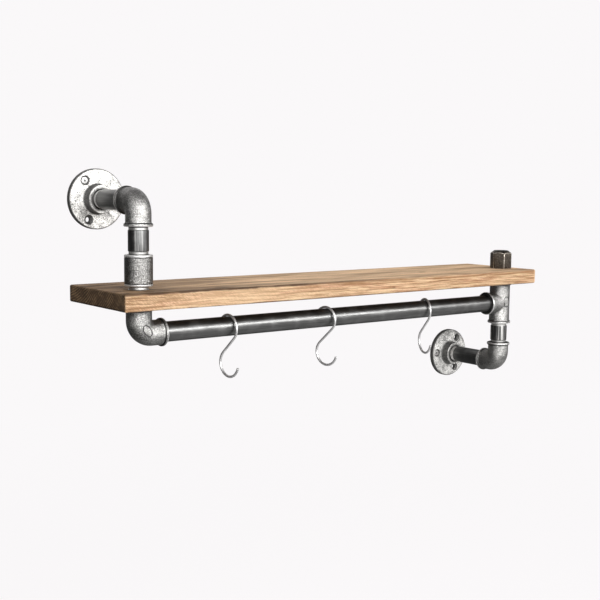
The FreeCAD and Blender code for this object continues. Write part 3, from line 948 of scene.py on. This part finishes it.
def make_pipe(node):
    """A pipe whose shoulders drop to a bright cut thread at each end."""
    settings = shelf().pipe
    low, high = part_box(node)
    axis = max(range(3), key=lambda number: high[number] - low[number])
    whole = high[axis] - low[axis]
    radius = settings.outer / 2
    grip = settings.grip
    neck = radius - settings.neck
    shows = ((settings.rail_show, settings.rail_show), (settings.show, settings.wall_show),
             (settings.show, settings.show))[axis]
    cut, far_cut = grip + shows[0], grip + shows[1]
    full, far_full = cut + settings.shoulder, far_cut + settings.shoulder
    pipe = lathe(node + "_tube", rounded(
        (0, grip), (neck, grip), (neck, grip + settings.gap), (neck, cut, TOOL_ROUND),
        (radius, full, settings.shoulder), (radius, whole - far_full, settings.shoulder),
        (neck, whole - far_cut, TOOL_ROUND), (neck, whole - grip - settings.gap), (neck, whole - grip),
        (0, whole - grip)))
    near = thread_rod(settings, grip + OVERLAP)
    turned = Matrix.Translation((0, 0, whole)) @ Matrix.Rotation(math.pi, 4, "X")
    far = place(copy_of(near, "thread_far"), turned)
    combine(pipe, "UNION", near, far)
    combine(pipe, "DIFFERENCE", rod("bore", radius - settings.wall, -MM, whole + MM))
    bright, far_bright = (edge + settings.shoulder / 2 for edge in (cut, far_cut))
    letter = "xyz"[axis]

    # Painted shadow: the neck next to each fitting takes the shade iron, and on the rail the whole neck
    # does
    def choose(centre, normal):
        from_end = min(centre.z, whole - centre.z)
        dark = grip + settings.gap if axis else bright
        if from_end < dark:
            return 2
        return int(centre.z < bright or centre.z > whole - far_bright)
    paint(pipe, [drawn_steel(letter), cut_steel(letter == "y"), mouth_iron()], choose)
    start = (low + high) / 2
    start[axis] = low[axis]
    place(pipe, Matrix.Translation(start) @ LAY[letter])
    return finish(pipe, node)


def port_outline(settings, reach, water, start):
    """The section of one branch, from its waterway at the start round its mouth to its body."""
    tapped = reach - settings.tapping_depth
    neck = reach - settings.rim_width
    return [Vector((water, start))] + rounded(
        (water, tapped), (settings.tapping, tapped), (settings.tapping, reach - settings.mouth),
        (settings.tapping + settings.mouth, reach), (settings.rim, reach, settings.rim_round),
        (settings.rim, neck, settings.rim_round), (settings.body, neck - FLARE_STEP, settings.flare),
        (settings.body, start))


def elbow_matrix(node, first, second, rim):
    """Where an elbow lies whose branches point along two directions, and how far each reaches."""
    low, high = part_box(node)
    centre = (low + high) / 2
    for direction in (first, second):
        axis = max(range(3), key=lambda number: abs(direction[number]))
        centre[axis] = low[axis] + rim if direction[axis] > 0 else high[axis] - rim
        reach = high[axis] - low[axis] - rim
    return looking(first, second, centre), reach


def cast_faces(settings, reach, at_wall=()):
    """Tells the skin, the worn bead with its painted highlight, and the mouth, end face and root, which
    take painted shade, of a fitting's branches apart.
    """
    inside = settings.tapping + settings.mouth + HAIR
    root = settings.body + PAINT_MARGIN
    foot = settings.body + WORN_FOOT * (settings.rim - settings.body)

    # 2 is painted shade on mouths, end faces and roots; 1 is the worn band, lightened as painted
    # highlight
    def choose(centre, normal):
        branches = ((centre.z, math.hypot(centre.x, centre.y), normal.z),
                    (-centre.z, math.hypot(centre.x, centre.y), -normal.z),
                    (centre.x, math.hypot(centre.z, centre.y), normal.x))
        for index, (along, across, facing) in enumerate(branches):
            if along > reach - settings.tapping_depth and across < inside:
                return 2
            if along > reach - settings.rim_width - settings.rim_round:
                if facing > OUTWARD or (facing < BACKWARD and across > root):
                    return 2
                width = WORN_AT_WALL if index in at_wall else WORN
                return int(across > foot and along > reach - width * settings.rim_round)
        return 0
    return choose


# The rings on the castings: centre of each, the way it faces, half its width and height, and its turn
ELBOW_RING = (Vector((3.7, -148.7, -165.1)) * MM, -Y, (8.3 * MM, 4.7 * MM), math.radians(-52))
TEE_RING = (Vector((684.0, -148.7, -168.3)) * MM, -Y, (6.2 * MM, 8.3 * MM), 0.0)


def plain_ring(target, at, outward, radii, turn, thickness):
    """A bare raised ring laid on a casting, all in the shade iron as painted shade of its sides; at is
    in front of the place where it lies.
    """
    pick_nothing()
    bpy.ops.mesh.primitive_circle_add(vertices=RING_STEPS, radius=1.0)
    ring = bpy.context.object
    across = Z.cross(outward).normalized()
    shape = Matrix.Diagonal((radii[0], radii[1], 1.0, 1.0))
    place(ring, looking(outward, across, at) @ Matrix.Rotation(turn, 4, "Z") @ shape)
    apply_modifier(ring, "SHRINKWRAP", target=target, wrap_method="PROJECT", use_project_y=True,
                   use_positive_direction=outward.y < 0, use_negative_direction=outward.y > 0)
    pick(ring)
    bpy.ops.object.convert(target="CURVE")
    ring.data.bevel_depth = thickness / 2
    ring.data.bevel_resolution = 2
    bpy.ops.object.convert(target="MESH")
    ring = tidy(bpy.context.object)
    # Painted shade: the whole ring takes the shade iron, standing in for its shaded sides
    paint(ring, [mouth_iron()])
    return ring


def make_elbow(node, first, second, mark=None):
    """A cast elbow: two rimmed branches and the bend between them."""
    settings = shelf().fitting
    pipe = shelf().pipe
    water = pipe.outer / 2 - pipe.wall
    bend = settings.body + settings.throat
    matrix, reach = elbow_matrix(node, first, second, settings.rim)
    elbow = lathe(node + "_casting", port_outline(settings, reach, water, bend))
    other = place(copy_of(elbow, "branch"), Matrix.Rotation(math.pi / 2, 4, "Y"))
    with editing(elbow, lambda point: abs(point.z - bend) < HAIR):
        sweep(-math.pi / 2, (bend, 0, bend), Y, BEND_STEPS)
    join(elbow, other)
    at_wall = [index for index, branch in ((0, first), (2, second)) if branch.y > 0.5]
    paint(elbow, [fitting_iron(), bead_iron(), mouth_iron()], cast_faces(settings, reach, at_wall))
    place(elbow, matrix)
    if mark:
        ring = plain_ring(elbow, *mark, settings.mark_height)
        join(elbow, ring)
    return finish(elbow, node)


# How far the tee's separate beads reach down into its blended body, and how often that is smoothed
COLLAR_DEPTH = 3.4 * MM
BLEND_PASSES = 14


def make_tee(node, mark):
    """A cast tee: three rimmed branches on a body whose inner corners are blended."""
    settings = shelf().fitting
    pipe = shelf().pipe
    water = pipe.outer / 2 - pipe.wall
    low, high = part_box(node)
    reach = high.x - low.x - settings.rim
    centre = Vector((high.x - settings.rim, (low.y + high.y) / 2, (low.z + high.z) / 2))
    turns = [Matrix(), Matrix.Rotation(math.pi, 4, "Y"), Matrix.Rotation(-math.pi / 2, 4, "Y")]
    inner = reach - settings.rim_width
    tee = rod(node + "_casting", settings.body, -inner, inner)
    combine(tee, "UNION", place(rod("branch", settings.body, 0, inner), turns[2]))
    apply_modifier(tee, "REMESH", mode="VOXEL", voxel_size=settings.skin)
    apply_modifier(tee, "SMOOTH", factor=0.5, iterations=BLEND_PASSES)
    collar_foot = inner - COLLAR_DEPTH
    collar = lathe("collar", closed([(water - MM, collar_foot), (water - MM, reach)] + rounded(
        (settings.tapping, reach), (settings.rim, reach, settings.rim_round),
        (settings.rim, inner, settings.rim_round), (settings.body, inner - FLARE_STEP, settings.flare),
        (settings.body, collar_foot + MM), (settings.body - MM, collar_foot))))
    tapped = reach - settings.tapping_depth
    mouth = [(settings.tapping, tapped), (settings.tapping, reach - settings.mouth),
             (settings.tapping + settings.mouth + MM, reach + MM), (0, reach + MM)]
    through = lathe("through", [(across, -up) for across, up in mouth[::-1]]
                    + [(water, -tapped), (water, tapped)] + mouth)
    aside = lathe("aside", [(0, 0), (water - 2 * HAIR, 0), (water - 2 * HAIR, tapped)] + mouth)
    combine(tee, "UNION", *[place(copy_of(collar, "collar_copy"), turn) for turn in turns])
    combine(tee, "DIFFERENCE", through, place(aside, turns[2]))
    bpy.data.objects.remove(collar)
    choose = cast_faces(settings, reach)
    mirror = Matrix.Diagonal((-1.0, 1.0, 1.0))
    paint(tee, [fitting_iron(), bead_iron(), mouth_iron()],
          lambda centre, normal: choose(mirror @ centre, mirror @ normal))
    place(tee, Matrix.Translation(centre))
    join(tee, plain_ring(tee, *mark, settings.mark_height))
    return finish(tee, node)


def flange_matrix(node):
    """Where a flange lies: its back on the wall, and its own Z axis away from the wall."""
    low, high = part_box(node)
    return looking(-Y, X, Vector(((low.x + high.x) / 2, high.y, (low.z + high.z) / 2)))


def screw_holes(settings, turn):
    """Where a flange's screw holes lie, in the flange's own plane."""
    for number in range(settings.holes):
        around = turn + math.tau * number / settings.holes
        yield Matrix.Rotation(around, 4, "Z") @ Matrix.Translation((settings.circle / 2, 0, 0))


# The flange's chamfer at the wall and its hub's edges; a screw's point and the edges of its head
BACK_BEVEL = 0.4 * MM
HUB_ROUND = 0.7 * MM
MOUTH_ROUND = 0.25 * MM
SCREW_INSET = 0.3 * MM
HEAD_CROWN = 0.35 * MM
HEAD_EDGE = 0.2 * MM
HEAD_ROUND = 0.15 * MM
# The screw's cross: a slot's length and width and the reach of the painted shade round it, as shares of
# the head's diameter, the slot's depth, and its turn in radians
SLOT_LENGTH, SLOT_WIDTH, CROSS_SHADE_REACH = 0.46, 0.13, 0.27
SLOT_DEPTH = 1.1 * MM
SLOT_TURN = 0.5


def make_flange(node, turn):
    """A round wall flange: a plate with countersunk holes, and a tapped hub."""
    settings = shelf().flange
    fitting = shelf().fitting
    low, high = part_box(node)
    radius, height = (high.x - low.x) / 2, high.y - low.y
    tapping, mouth = fitting.tapping, settings.mouth
    flange = lathe(node + "_casting", closed(rounded(
        (tapping, 0), (radius - BACK_BEVEL, 0), (radius, BACK_BEVEL),
        (radius, settings.plate, settings.edge), (settings.hub, settings.plate, settings.foot),
        (settings.hub, height, HUB_ROUND), (tapping + mouth, height, MOUTH_ROUND),
        (tapping, height - mouth))), steps=WIDE_STEPS)
    sink = (settings.sink - settings.hole) / 2
    drill = lathe("drill", [
        (0, -MM), (settings.hole / 2, -MM), (settings.hole / 2, settings.plate - sink),
        (settings.sink / 2 + MM, settings.plate + MM), (0, settings.plate + MM)], steps=DRILL_STEPS)
    for hole in screw_holes(settings, turn):
        combine(flange, "DIFFERENCE", place(copy_of(drill, "drill_copy"), hole))
    bpy.data.objects.remove(drill)

    # Painted shade: the tapped mouth takes the shade iron
    def choose(centre, normal):
        return int(radial(centre) < tapping + mouth + PAINT_MARGIN)
    paint(flange, [flange_iron(node, turn), mouth_iron()], choose)
    place(flange, flange_matrix(node))
    return finish(flange, node)


def make_screw(name, node, turn):
    """A countersunk cross-head screw, seated in a flange's hole."""
    settings = shelf().flange
    head, shank = settings.screw_head / 2, settings.screw_shank / 2
    top = settings.plate - (settings.sink / 2 - head) - HEAD_EDGE
    rim = top - HEAD_CROWN
    screw = lathe(name, rounded(
        (0, SCREW_INSET), (shank, SCREW_INSET), (shank, rim - (head - shank)), (head, rim, HEAD_ROUND),
        (head - HEAD_EDGE, top), (0, top + HEAD_CROWN)), steps=DRILL_STEPS)
    for quarter in range(2):
        pick_nothing()
        bpy.ops.mesh.primitive_cube_add(size=1.0)
        bar = bpy.context.object
        turned = Matrix.Rotation(quarter * math.pi / 2 + SLOT_TURN, 4, "Z")
        size = (SLOT_LENGTH * 2 * head, SLOT_WIDTH * 2 * head, 2 * SLOT_DEPTH, 1.0)
        place(bar, Matrix.Translation((0, 0, top)) @ turned @ Matrix.Diagonal(size))
        combine(screw, "DIFFERENCE", bar)

    # Painted shade: the faces of the cross take the shade iron
    def choose(centre, normal):
        return int(radial(centre) < CROSS_SHADE_REACH * 2 * head and top - SLOT_DEPTH - HAIR < centre.z < top)
    paint(screw, [plated_screw(), mouth_iron()], choose)
    place(screw, flange_matrix(node) @ next(screw_holes(settings, turn)))
    return finish(screw, None)


# Rounding inside the socket's bands, the width of the painted shade round its mouths, and the half width
# of the painted shade line in each groove as a share of the groove's
BAND_ROUND = 0.5 * MM
MOUTH_SHADE = 0.8 * MM
SHADE_LINE_SHARE = 0.65


def make_socket(node):
    """A tapped coupling with a turned band at both ends, lightened as painted highlight, and painted
    shade in its grooves and round its mouths.
    """
    settings = shelf().socket
    fitting = shelf().fitting
    low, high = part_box(node)
    radius, height = (high.x - low.x) / 2, high.z - low.z
    tapping, mouth = fitting.tapping, fitting.mouth
    band, groove = settings.band, settings.groove
    half = [(radius, height / 2), (radius, height - band - 2 * groove, TOOL_ROUND),
            (radius - groove, height - band - groove), (radius, height - band, BAND_ROUND),
            (radius, height, settings.bevel), (tapping + mouth, height), (tapping, height - mouth)]
    outline = [(across, height - up, *more) for across, up, *more in half[:0:-1]] + half[1:]
    socket = lathe(node + "_sleeve", closed(rounded(*outline)), steps=WIDE_STEPS)

    # 2 is painted shade in the grooves and round the mouths; 1 is the pale bead iron on the bands, as
    # painted highlight
    def choose(centre, normal):
        from_end = min(centre.z, height - centre.z)
        in_groove = abs(from_end - band - groove) < SHADE_LINE_SHARE * groove
        if in_groove or radial(centre) < tapping + mouth + MOUTH_SHADE:
            return 2
        return int(from_end < band + groove)
    paint(socket, [socket_iron(), bead_iron(), mouth_iron()], choose)
    place(socket, Matrix.Translation(((low.x + high.x) / 2, (low.y + high.y) / 2, low.z)))
    return finish(socket, node)


# Rounding of the cap's crown, the point of its blind hole, and the edges that are rubbed bright,
# lightened also as painted highlight
CROWN_ROUND = 1.5 * MM
DRILL_POINT = 3 * MM
CAP_EDGE_ANGLE = math.radians(28)


def make_cap(node):
    """A deep hexagon cap with a bevelled crown, blind tapping and rubbed edges that also carry a painted
    highlight.
    """
    settings = shelf().cap
    fitting = shelf().fitting
    low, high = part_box(node)
    corner, height = (high.x - low.x) / 2, high.z - low.z
    pick_nothing()
    bpy.ops.mesh.primitive_cylinder_add(
        vertices=6, radius=corner, depth=height, location=(0, 0, height / 2),
        rotation=(0, 0, math.pi / 2))
    cap = bpy.context.object
    cap.name = node + "_casting"
    place(cap, Matrix())
    shoulder = corner - settings.shoulder
    below = height - settings.crown
    crown = lathe("crown", rounded(
        (0, -MM), (corner + MM, -MM), (corner + MM, below), (corner + HAIR, below),
        (shoulder, height, CROWN_ROUND), (0, height)), steps=WIDE_STEPS)
    combine(cap, "INTERSECT", crown)
    depth, tapping, mouth = fitting.tapping_depth, fitting.tapping, fitting.mouth
    combine(cap, "DIFFERENCE", lathe("blind", [
        (0, -MM), (tapping + mouth + MM, -MM), (tapping, mouth), (tapping, depth),
        (0, depth + DRILL_POINT)]))
    # The bevel's faces take the rubbed metal, as wear and painted highlight along the edges
    paint(cap, [cap_oxide(), rubbed_edge()])
    apply_modifier(cap, "BEVEL", width=settings.worn, segments=3, limit_method="ANGLE",
                   angle_limit=CAP_EDGE_ANGLE, material=1)
    place(cap, Matrix.Translation(((low.x + high.x) / 2, (low.y + high.y) / 2, low.z)))
    return finish(cap, node)


# How far the dips of the sawn surface stretch along each axis, in metres
SAWN_GRAIN = (0.25, 0.022, 0.022)


def make_board(node):
    """The pine board: worn edges, a slightly uneven sawn surface and a hole for each leg."""
    settings = shelf().board
    low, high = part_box(node)
    size, centre = high - low, (low + high) / 2
    pick_nothing()
    across, deep, layers = (round(side / settings.cell) for side in size)
    bpy.ops.mesh.primitive_grid_add(x_subdivisions=across, y_subdivisions=deep, size=1.0)
    board = bpy.context.object
    board.name = node + "_plank"
    underside = Matrix.Translation((centre.x, centre.y, low.z))
    place(board, underside @ Matrix.Diagonal((size.x, size.y, 1, 1)))
    with editing(board):
        for _ in range(layers):
            bpy.ops.mesh.extrude_region_move(TRANSFORM_OT_translate={"value": (0, 0, size.z / layers)})
    tidy(board)
    bevel_sharp_edges(board, settings.worn, segments=5)
    bpy.ops.object.empty_add(location=(0, 0, 0))
    grain = bpy.context.object
    grain.scale = SAWN_GRAIN
    texture = bpy.data.textures.new("sawn", "CLOUDS")
    texture.noise_scale = 1.0
    texture.noise_depth = 2
    bpy.context.view_layer.update()
    apply_modifier(board, "DISPLACE", texture=texture, texture_coords="OBJECT",
                   texture_coords_object=grain, mid_level=1.0, strength=settings.dents)
    bpy.data.objects.remove(grain)
    for node_above in ("board_socket", "hex_cap"):
        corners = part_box(node_above)
        leg = (corners[0] + corners[1]) / 2
        hole = rod("leg_hole", settings.hole / 2, low.z - MM, high.z + MM)
        combine(board, "DIFFERENCE", place(hole, Matrix.Translation((leg.x, leg.y, 0))))
    paint(board, [pine()])
    return finish(board, node)


def make_hook(node, body, turn):
    """An S-hook: over the rail, down in front of it and back under into an open loop."""
    settings = shelf().hook
    joint = next(item for item in frame["joints"] if item["child"] == body)
    upper = Vector((0, 0, -settings.slack))
    lower = Vector((0, -settings.lead, -settings.drop))
    between = lower - upper
    leave = math.atan2(between.z, between.y)
    leave -= math.acos((settings.bend + settings.loop) / between.length)
    across = Vector((0, math.cos(leave), math.sin(leave)))
    run = (lower - across * settings.loop) - (upper + across * settings.bend)
    loop_turn = leave + math.tau - math.asin(settings.tip / settings.loop)
    pick_nothing()
    bpy.ops.mesh.primitive_circle_add(
        vertices=WIRE_STEPS, radius=settings.wire / 2, location=upper + Vector((0, settings.bend, 0)))
    hook = bpy.context.object
    hook.name = node + "_wire"
    place(hook, Matrix())
    with editing(hook):
        sweep(leave + math.tau, upper, X, HOOK_STEPS)
        bpy.ops.mesh.extrude_region_move(TRANSFORM_OT_translate={"value": run})
        sweep(-loop_turn, lower, X, HOOK_STEPS)
    tidy(hook)
    with editing(hook, kind="EDGE"):
        bpy.ops.mesh.select_all(action="DESELECT")
        bpy.ops.mesh.select_non_manifold()
        bpy.ops.mesh.fill_holes(sides=0)
    bevel_sharp_edges(hook, settings.end, segments=4)
    place(hook, Matrix.Translation(joint["pos_m"]) @ Matrix.Rotation(turn, 4, "Z"))
    paint(hook, [plated_wire()])
    return finish(hook, node, body)


# Operators

class ShelfOperator:
    bl_options = {"REGISTER", "UNDO"}


class SHELF_OT_pipes(ShelfOperator, bpy.types.Operator):
    """Add the nipples and the long rail, each with its threads"""
    bl_idname = "pipe_shelf.pipes"
    bl_label = "Pipes"

    def execute(self, context):
        for node in PIPES:
            make_pipe(node)
        return {"FINISHED"}


class SHELF_OT_elbows(ShelfOperator, bpy.types.Operator):
    """Add the three cast elbows"""
    bl_idname = "pipe_shelf.elbows"
    bl_label = "Elbows"

    def execute(self, context):
        make_elbow("upper_elbow", -Z, Y)
        make_elbow("left_rail_elbow", Z, X, ELBOW_RING)
        make_elbow("lower_elbow", Z, Y)
        return {"FINISHED"}


class SHELF_OT_tee(ShelfOperator, bpy.types.Operator):
    """Add the cast tee between the rail and the right leg"""
    bl_idname = "pipe_shelf.tee"
    bl_label = "Tee"

    def execute(self, context):
        make_tee("rail_tee", TEE_RING)
        return {"FINISHED"}


class SHELF_OT_flanges(ShelfOperator, bpy.types.Operator):
    """Add both wall flanges"""
    bl_idname = "pipe_shelf.flanges"
    bl_label = "Wall flanges"

    def execute(self, context):
        settings = shelf().flange
        make_flange("upper_wall_flange", settings.upper_turn)
        make_flange("lower_wall_flange", settings.lower_turn)
        return {"FINISHED"}


class SHELF_OT_screws(ShelfOperator, bpy.types.Operator):
    """Add a wood screw in one hole of each flange"""
    bl_idname = "pipe_shelf.screws"
    bl_label = "Wood screws"

    def execute(self, context):
        settings = shelf().flange
        one_hole_on = math.tau / settings.holes
        make_screw("upper_flange_screw", "upper_wall_flange", settings.upper_turn + one_hole_on)
        make_screw("lower_flange_screw", "lower_wall_flange", settings.lower_turn)
        return {"FINISHED"}


class SHELF_OT_socket(ShelfOperator, bpy.types.Operator):
    """Add the socket that stands over the board"""
    bl_idname = "pipe_shelf.socket"
    bl_label = "Board socket"

    def execute(self, context):
        make_socket("board_socket")
        return {"FINISHED"}


class SHELF_OT_cap(ShelfOperator, bpy.types.Operator):
    """Add the hexagon cap"""
    bl_idname = "pipe_shelf.cap"
    bl_label = "Hexagon cap"

    def execute(self, context):
        make_cap("hex_cap")
        return {"FINISHED"}


class SHELF_OT_board(ShelfOperator, bpy.types.Operator):
    """Add the pine board"""
    bl_idname = "pipe_shelf.board"
    bl_label = "Board"

    def execute(self, context):
        make_board("shelf_board")
        return {"FINISHED"}


class SHELF_OT_hooks(ShelfOperator, bpy.types.Operator):
    """Add the three S-hooks, each on the body that swings"""
    bl_idname = "pipe_shelf.hooks"
    bl_label = "S-hooks"

    def execute(self, context):
        settings = shelf().hook
        for side in ("left", "middle", "right"):
            make_hook("s_hook_" + side, "hook_" + side, getattr(settings, side + "_turn"))
        return {"FINISHED"}


# The stage

# Angles round the shelf are in degrees: azimuth 0 is in front of the wall, positive to the right.
# Distances and sizes are in metres.

# Strip lights: name, azimuth, height of the lit face, share of the strips' brightness
STRIPS = (("left_strip", -42.0, 0.8, 0.32),
          ("middle_strip", -10.0, 0.9, 0.58),
          ("right_strip", 25.0, 0.5, 0.74))
STRIP_ELEVATION, STRIP_DISTANCE, STRIP_LENGTH = 15.0, 3.0, 2.7

# Soft lights: azimuth, elevation, distance and size
FRONT_LIGHT = (5.0, 20.0, 3.0, (2.0, 2.0))
TOP_LIGHT = (0.0, 75.0, 2.5, (3.0, 2.0))

# Cards: name, azimuth, elevation, distance, size, grey, and where one faces that doesn't face the shelf
CARDS = (("left_card", -118.0, 5.0, 1.8, (3.6, 2.6), 0.09),
         ("left_low_card", -86.0, -31.0, 0.92, (1.6, 0.9), 0.07),
         ("right_card", 100.0, 5.0, 1.8, (2.4, 2.6), 0.26),
         ("top_card", 0.0, 80.0, 1.8, (2.6, 2.0), 0.12),
         ("front_low_card", -59.7, -40.0, 1.09, (0.9, 0.9), 0.07, Vector((0.35, 0.25, 0.9))),
         ("low_card", 60.8, -53.3, 0.82, (1.54, 1.0), 0.72, Vector((0.0, 0.34, 0.94))),
         ("back_card", 180.0, -35.0, 0.46, (1.8, 0.9), 0.12),
         ("wall_card", 180.0, -69.0, 0.33, (1.3, 0.6), 0.12, Vector((0.0, -1.0, 0.0))))

FLOOR_RADIUS = 6.0
# The floor's own light: from where to where it grows, its share there, and how it makes up for the
# shadow on the rest
SHADOW_FADE = (0.5, 3.0)
GLOW_SHARE = (0.8, 1.0)
FLOOR_LIFT = (-0.42, 1.42)
# The camera's sensor, in millimetres, and how far it sees, in metres
SENSOR_WIDTH = 36.0
SIGHT = 50.0


def make_world(settings):
    """Even light from all round, and the plain pale background."""
    world = bpy.data.worlds.new("studio")
    bpy.context.scene.world = world
    nodes = Nodes(world)
    pale = (*settings.pale, 1.0)
    even, plain = (nodes.add("Background", {"Color": pale, "Strength": strength}).outputs[0]
                   for strength in (settings.ambient, 1.0))
    both = nodes.add("MixShader", {0: nodes.seen(), 1: even, 2: plain})
    nodes.add("OutputWorld", {"Surface": both.outputs[0]})


def make_floor(settings):
    """A wide pale disc that keeps a soft shadow near its middle."""
    low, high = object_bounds()
    middle = (low + high) / 2
    pick_nothing()
    bpy.ops.mesh.primitive_circle_add(
        vertices=WIDE_STEPS, radius=FLOOR_RADIUS, fill_type="NGON",
        location=(middle.x, middle.y, settings.floor))
    floor = bpy.context.object
    floor.name = "studio_floor"
    material = bpy.data.materials.new("floor")
    nodes = Nodes(material)
    pale = (*settings.pale, 1.0)
    place = nodes.add("TexCoord").outputs["Object"]
    away = nodes.vector("LENGTH", place, place, "Value")
    fade = nodes.between(away, *SHADOW_FADE, *GLOW_SHARE)
    lift = nodes.calc("MULTIPLY_ADD", fade, *FLOOR_LIFT)
    lit = nodes.add("BsdfDiffuse", {"Color": pale}).outputs[0]
    glow = nodes.add("Emission", {"Color": pale, "Strength": lift}).outputs[0]
    both = nodes.add("MixShader", {0: nodes.times(fade, nodes.seen()), 1: lit, 2: glow})
    nodes.add("OutputMaterial", {"Surface": both.outputs[0]})
    floor.data.materials.append(material)
    floor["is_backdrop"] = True


def from_middle(azimuth, elevation, distance):
    """A place round the shelf, and the direction from there to the shelf's middle."""
    low, high = cad_box
    turn, lift = math.radians(azimuth), math.radians(elevation)
    away = Vector((math.sin(turn) * math.cos(lift), -math.cos(turn) * math.cos(lift), math.sin(lift)))
    return (low + high) / 2 + away * distance, -away


def make_lamp(name, azimuth, elevation, distance, size, radiance):
    """A soft light that faces the shelf; its power follows from its brightness and area."""
    at, aim = from_middle(azimuth, elevation, distance)
    bpy.ops.object.light_add(type="AREA", location=at)
    lamp = bpy.context.object
    lamp.name = name
    lamp.rotation_mode = "QUATERNION"
    lamp.rotation_quaternion = aim.to_track_quat("-Z", "Y")
    lamp.data.shape = "RECTANGLE"
    lamp.data.size, lamp.data.size_y = size
    lamp.data.energy = radiance * math.pi * size[0] * size[1]
    lamp.visible_camera = False
    return lamp


def make_card(name, azimuth, elevation, distance, size, grey, aim=None):
    """A grey card that only the metal's reflections see."""
    at, inward = from_middle(azimuth, elevation, distance)
    material = bpy.data.materials.new(name)
    nodes = Nodes(material)
    glow = nodes.add("Emission", {"Color": (grey, grey, grey, 1.0)})
    nodes.add("OutputMaterial", {"Surface": glow.outputs[0]})
    pick_nothing()
    bpy.ops.mesh.primitive_plane_add(size=1.0)
    card = bpy.context.object
    card.name = name
    turn = (aim or inward).to_track_quat("-Z", "Y").to_matrix().to_4x4()
    place(card, Matrix.Translation(at) @ turn @ Matrix.Diagonal((*size, 1.0, 1.0)))
    card.visible_camera = False
    card.visible_diffuse = False
    card.visible_shadow = False
    card.data.materials.append(material)
    card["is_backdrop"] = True


def make_camera(settings):
    forward = Vector((math.sin(settings.yaw) * math.cos(settings.pitch),
                      math.cos(settings.yaw) * math.cos(settings.pitch), -math.sin(settings.pitch)))
    level = Vector((math.cos(settings.yaw), -math.sin(settings.yaw), 0))
    right = math.cos(settings.roll) * level + math.sin(settings.roll) * level.cross(forward)
    bpy.ops.object.camera_add()
    camera = bpy.context.object
    camera.matrix_world = looking(-forward, right, Vector(settings.eye))
    camera.data.lens = settings.lens
    camera.data.sensor_width = SENSOR_WIDTH
    camera.data.clip_end = SIGHT
    bpy.context.scene.camera = camera


class SHELF_OT_stage(ShelfOperator, bpy.types.Operator):
    """Add the camera, the floor and the studio light"""
    bl_idname = "pipe_shelf.stage"
    bl_label = "Stage"

    def execute(self, context):
        settings = shelf().stage
        context.scene.view_settings.view_transform = "Standard"
        make_world(settings)
        make_floor(settings)
        make_lamp("front_light", *FRONT_LIGHT, settings.key).visible_glossy = False
        make_lamp("top_light", *TOP_LIGHT, settings.fill).visible_glossy = False
        for name, azimuth, height, share in STRIPS:
            strip = make_lamp(name, azimuth, STRIP_ELEVATION, STRIP_DISTANCE, (STRIP_LENGTH, height),
                              share * settings.strip)
            strip.visible_diffuse = False
        for card in CARDS:
            make_card(*card)
        make_camera(settings)
        return {"FINISHED"}


class SHELF_PT_panel(bpy.types.Panel):
    """Buttons for the pieces of the pipe shelf"""
    bl_label = "Pipe Shelf"
    bl_idname = "SHELF_PT_panel"
    bl_space_type = "VIEW_3D"
    bl_region_type = "UI"
    bl_category = "Pipe Shelf"

    def draw(self, context):
        for operator in OPERATORS:
            self.layout.operator(operator.bl_idname)
        for part in ShelfSettings.__annotations__:
            box = self.layout.box()
            box.label(text=part.title())
            settings = getattr(shelf(), part)
            for name in type(settings).__annotations__:
                box.prop(settings, name)


OPERATORS = (SHELF_OT_pipes, SHELF_OT_elbows, SHELF_OT_tee, SHELF_OT_flanges, SHELF_OT_screws,
             SHELF_OT_socket, SHELF_OT_cap, SHELF_OT_board, SHELF_OT_hooks, SHELF_OT_stage)
CLASSES = (PipeSettings, FittingSettings, FlangeSettings, SocketSettings, CapSettings, BoardSettings,
           HookSettings, StageSettings, ShelfSettings, *OPERATORS, SHELF_PT_panel)


def register():
    for item in CLASSES:
        bpy.utils.register_class(item)
    bpy.types.Scene.pipe_shelf = bpy.props.PointerProperty(type=ShelfSettings)


def unregister():
    del bpy.types.Scene.pipe_shelf
    for item in reversed(CLASSES):
        bpy.utils.unregister_class(item)


def main():
    register()
    bpy.ops.pipe_shelf.pipes()
    bpy.ops.pipe_shelf.elbows()
    bpy.ops.pipe_shelf.tee()
    bpy.ops.pipe_shelf.flanges()
    bpy.ops.pipe_shelf.screws()
    bpy.ops.pipe_shelf.socket()
    bpy.ops.pipe_shelf.cap()
    bpy.ops.pipe_shelf.board()
    bpy.ops.pipe_shelf.hooks()
    bpy.ops.pipe_shelf.stage()
    boxes = {"cad": cad_box, "visual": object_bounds()}
    {name: [list(corner) for corner in box] for name, box in boxes.items()}


if __name__ == "__main__":
    main()
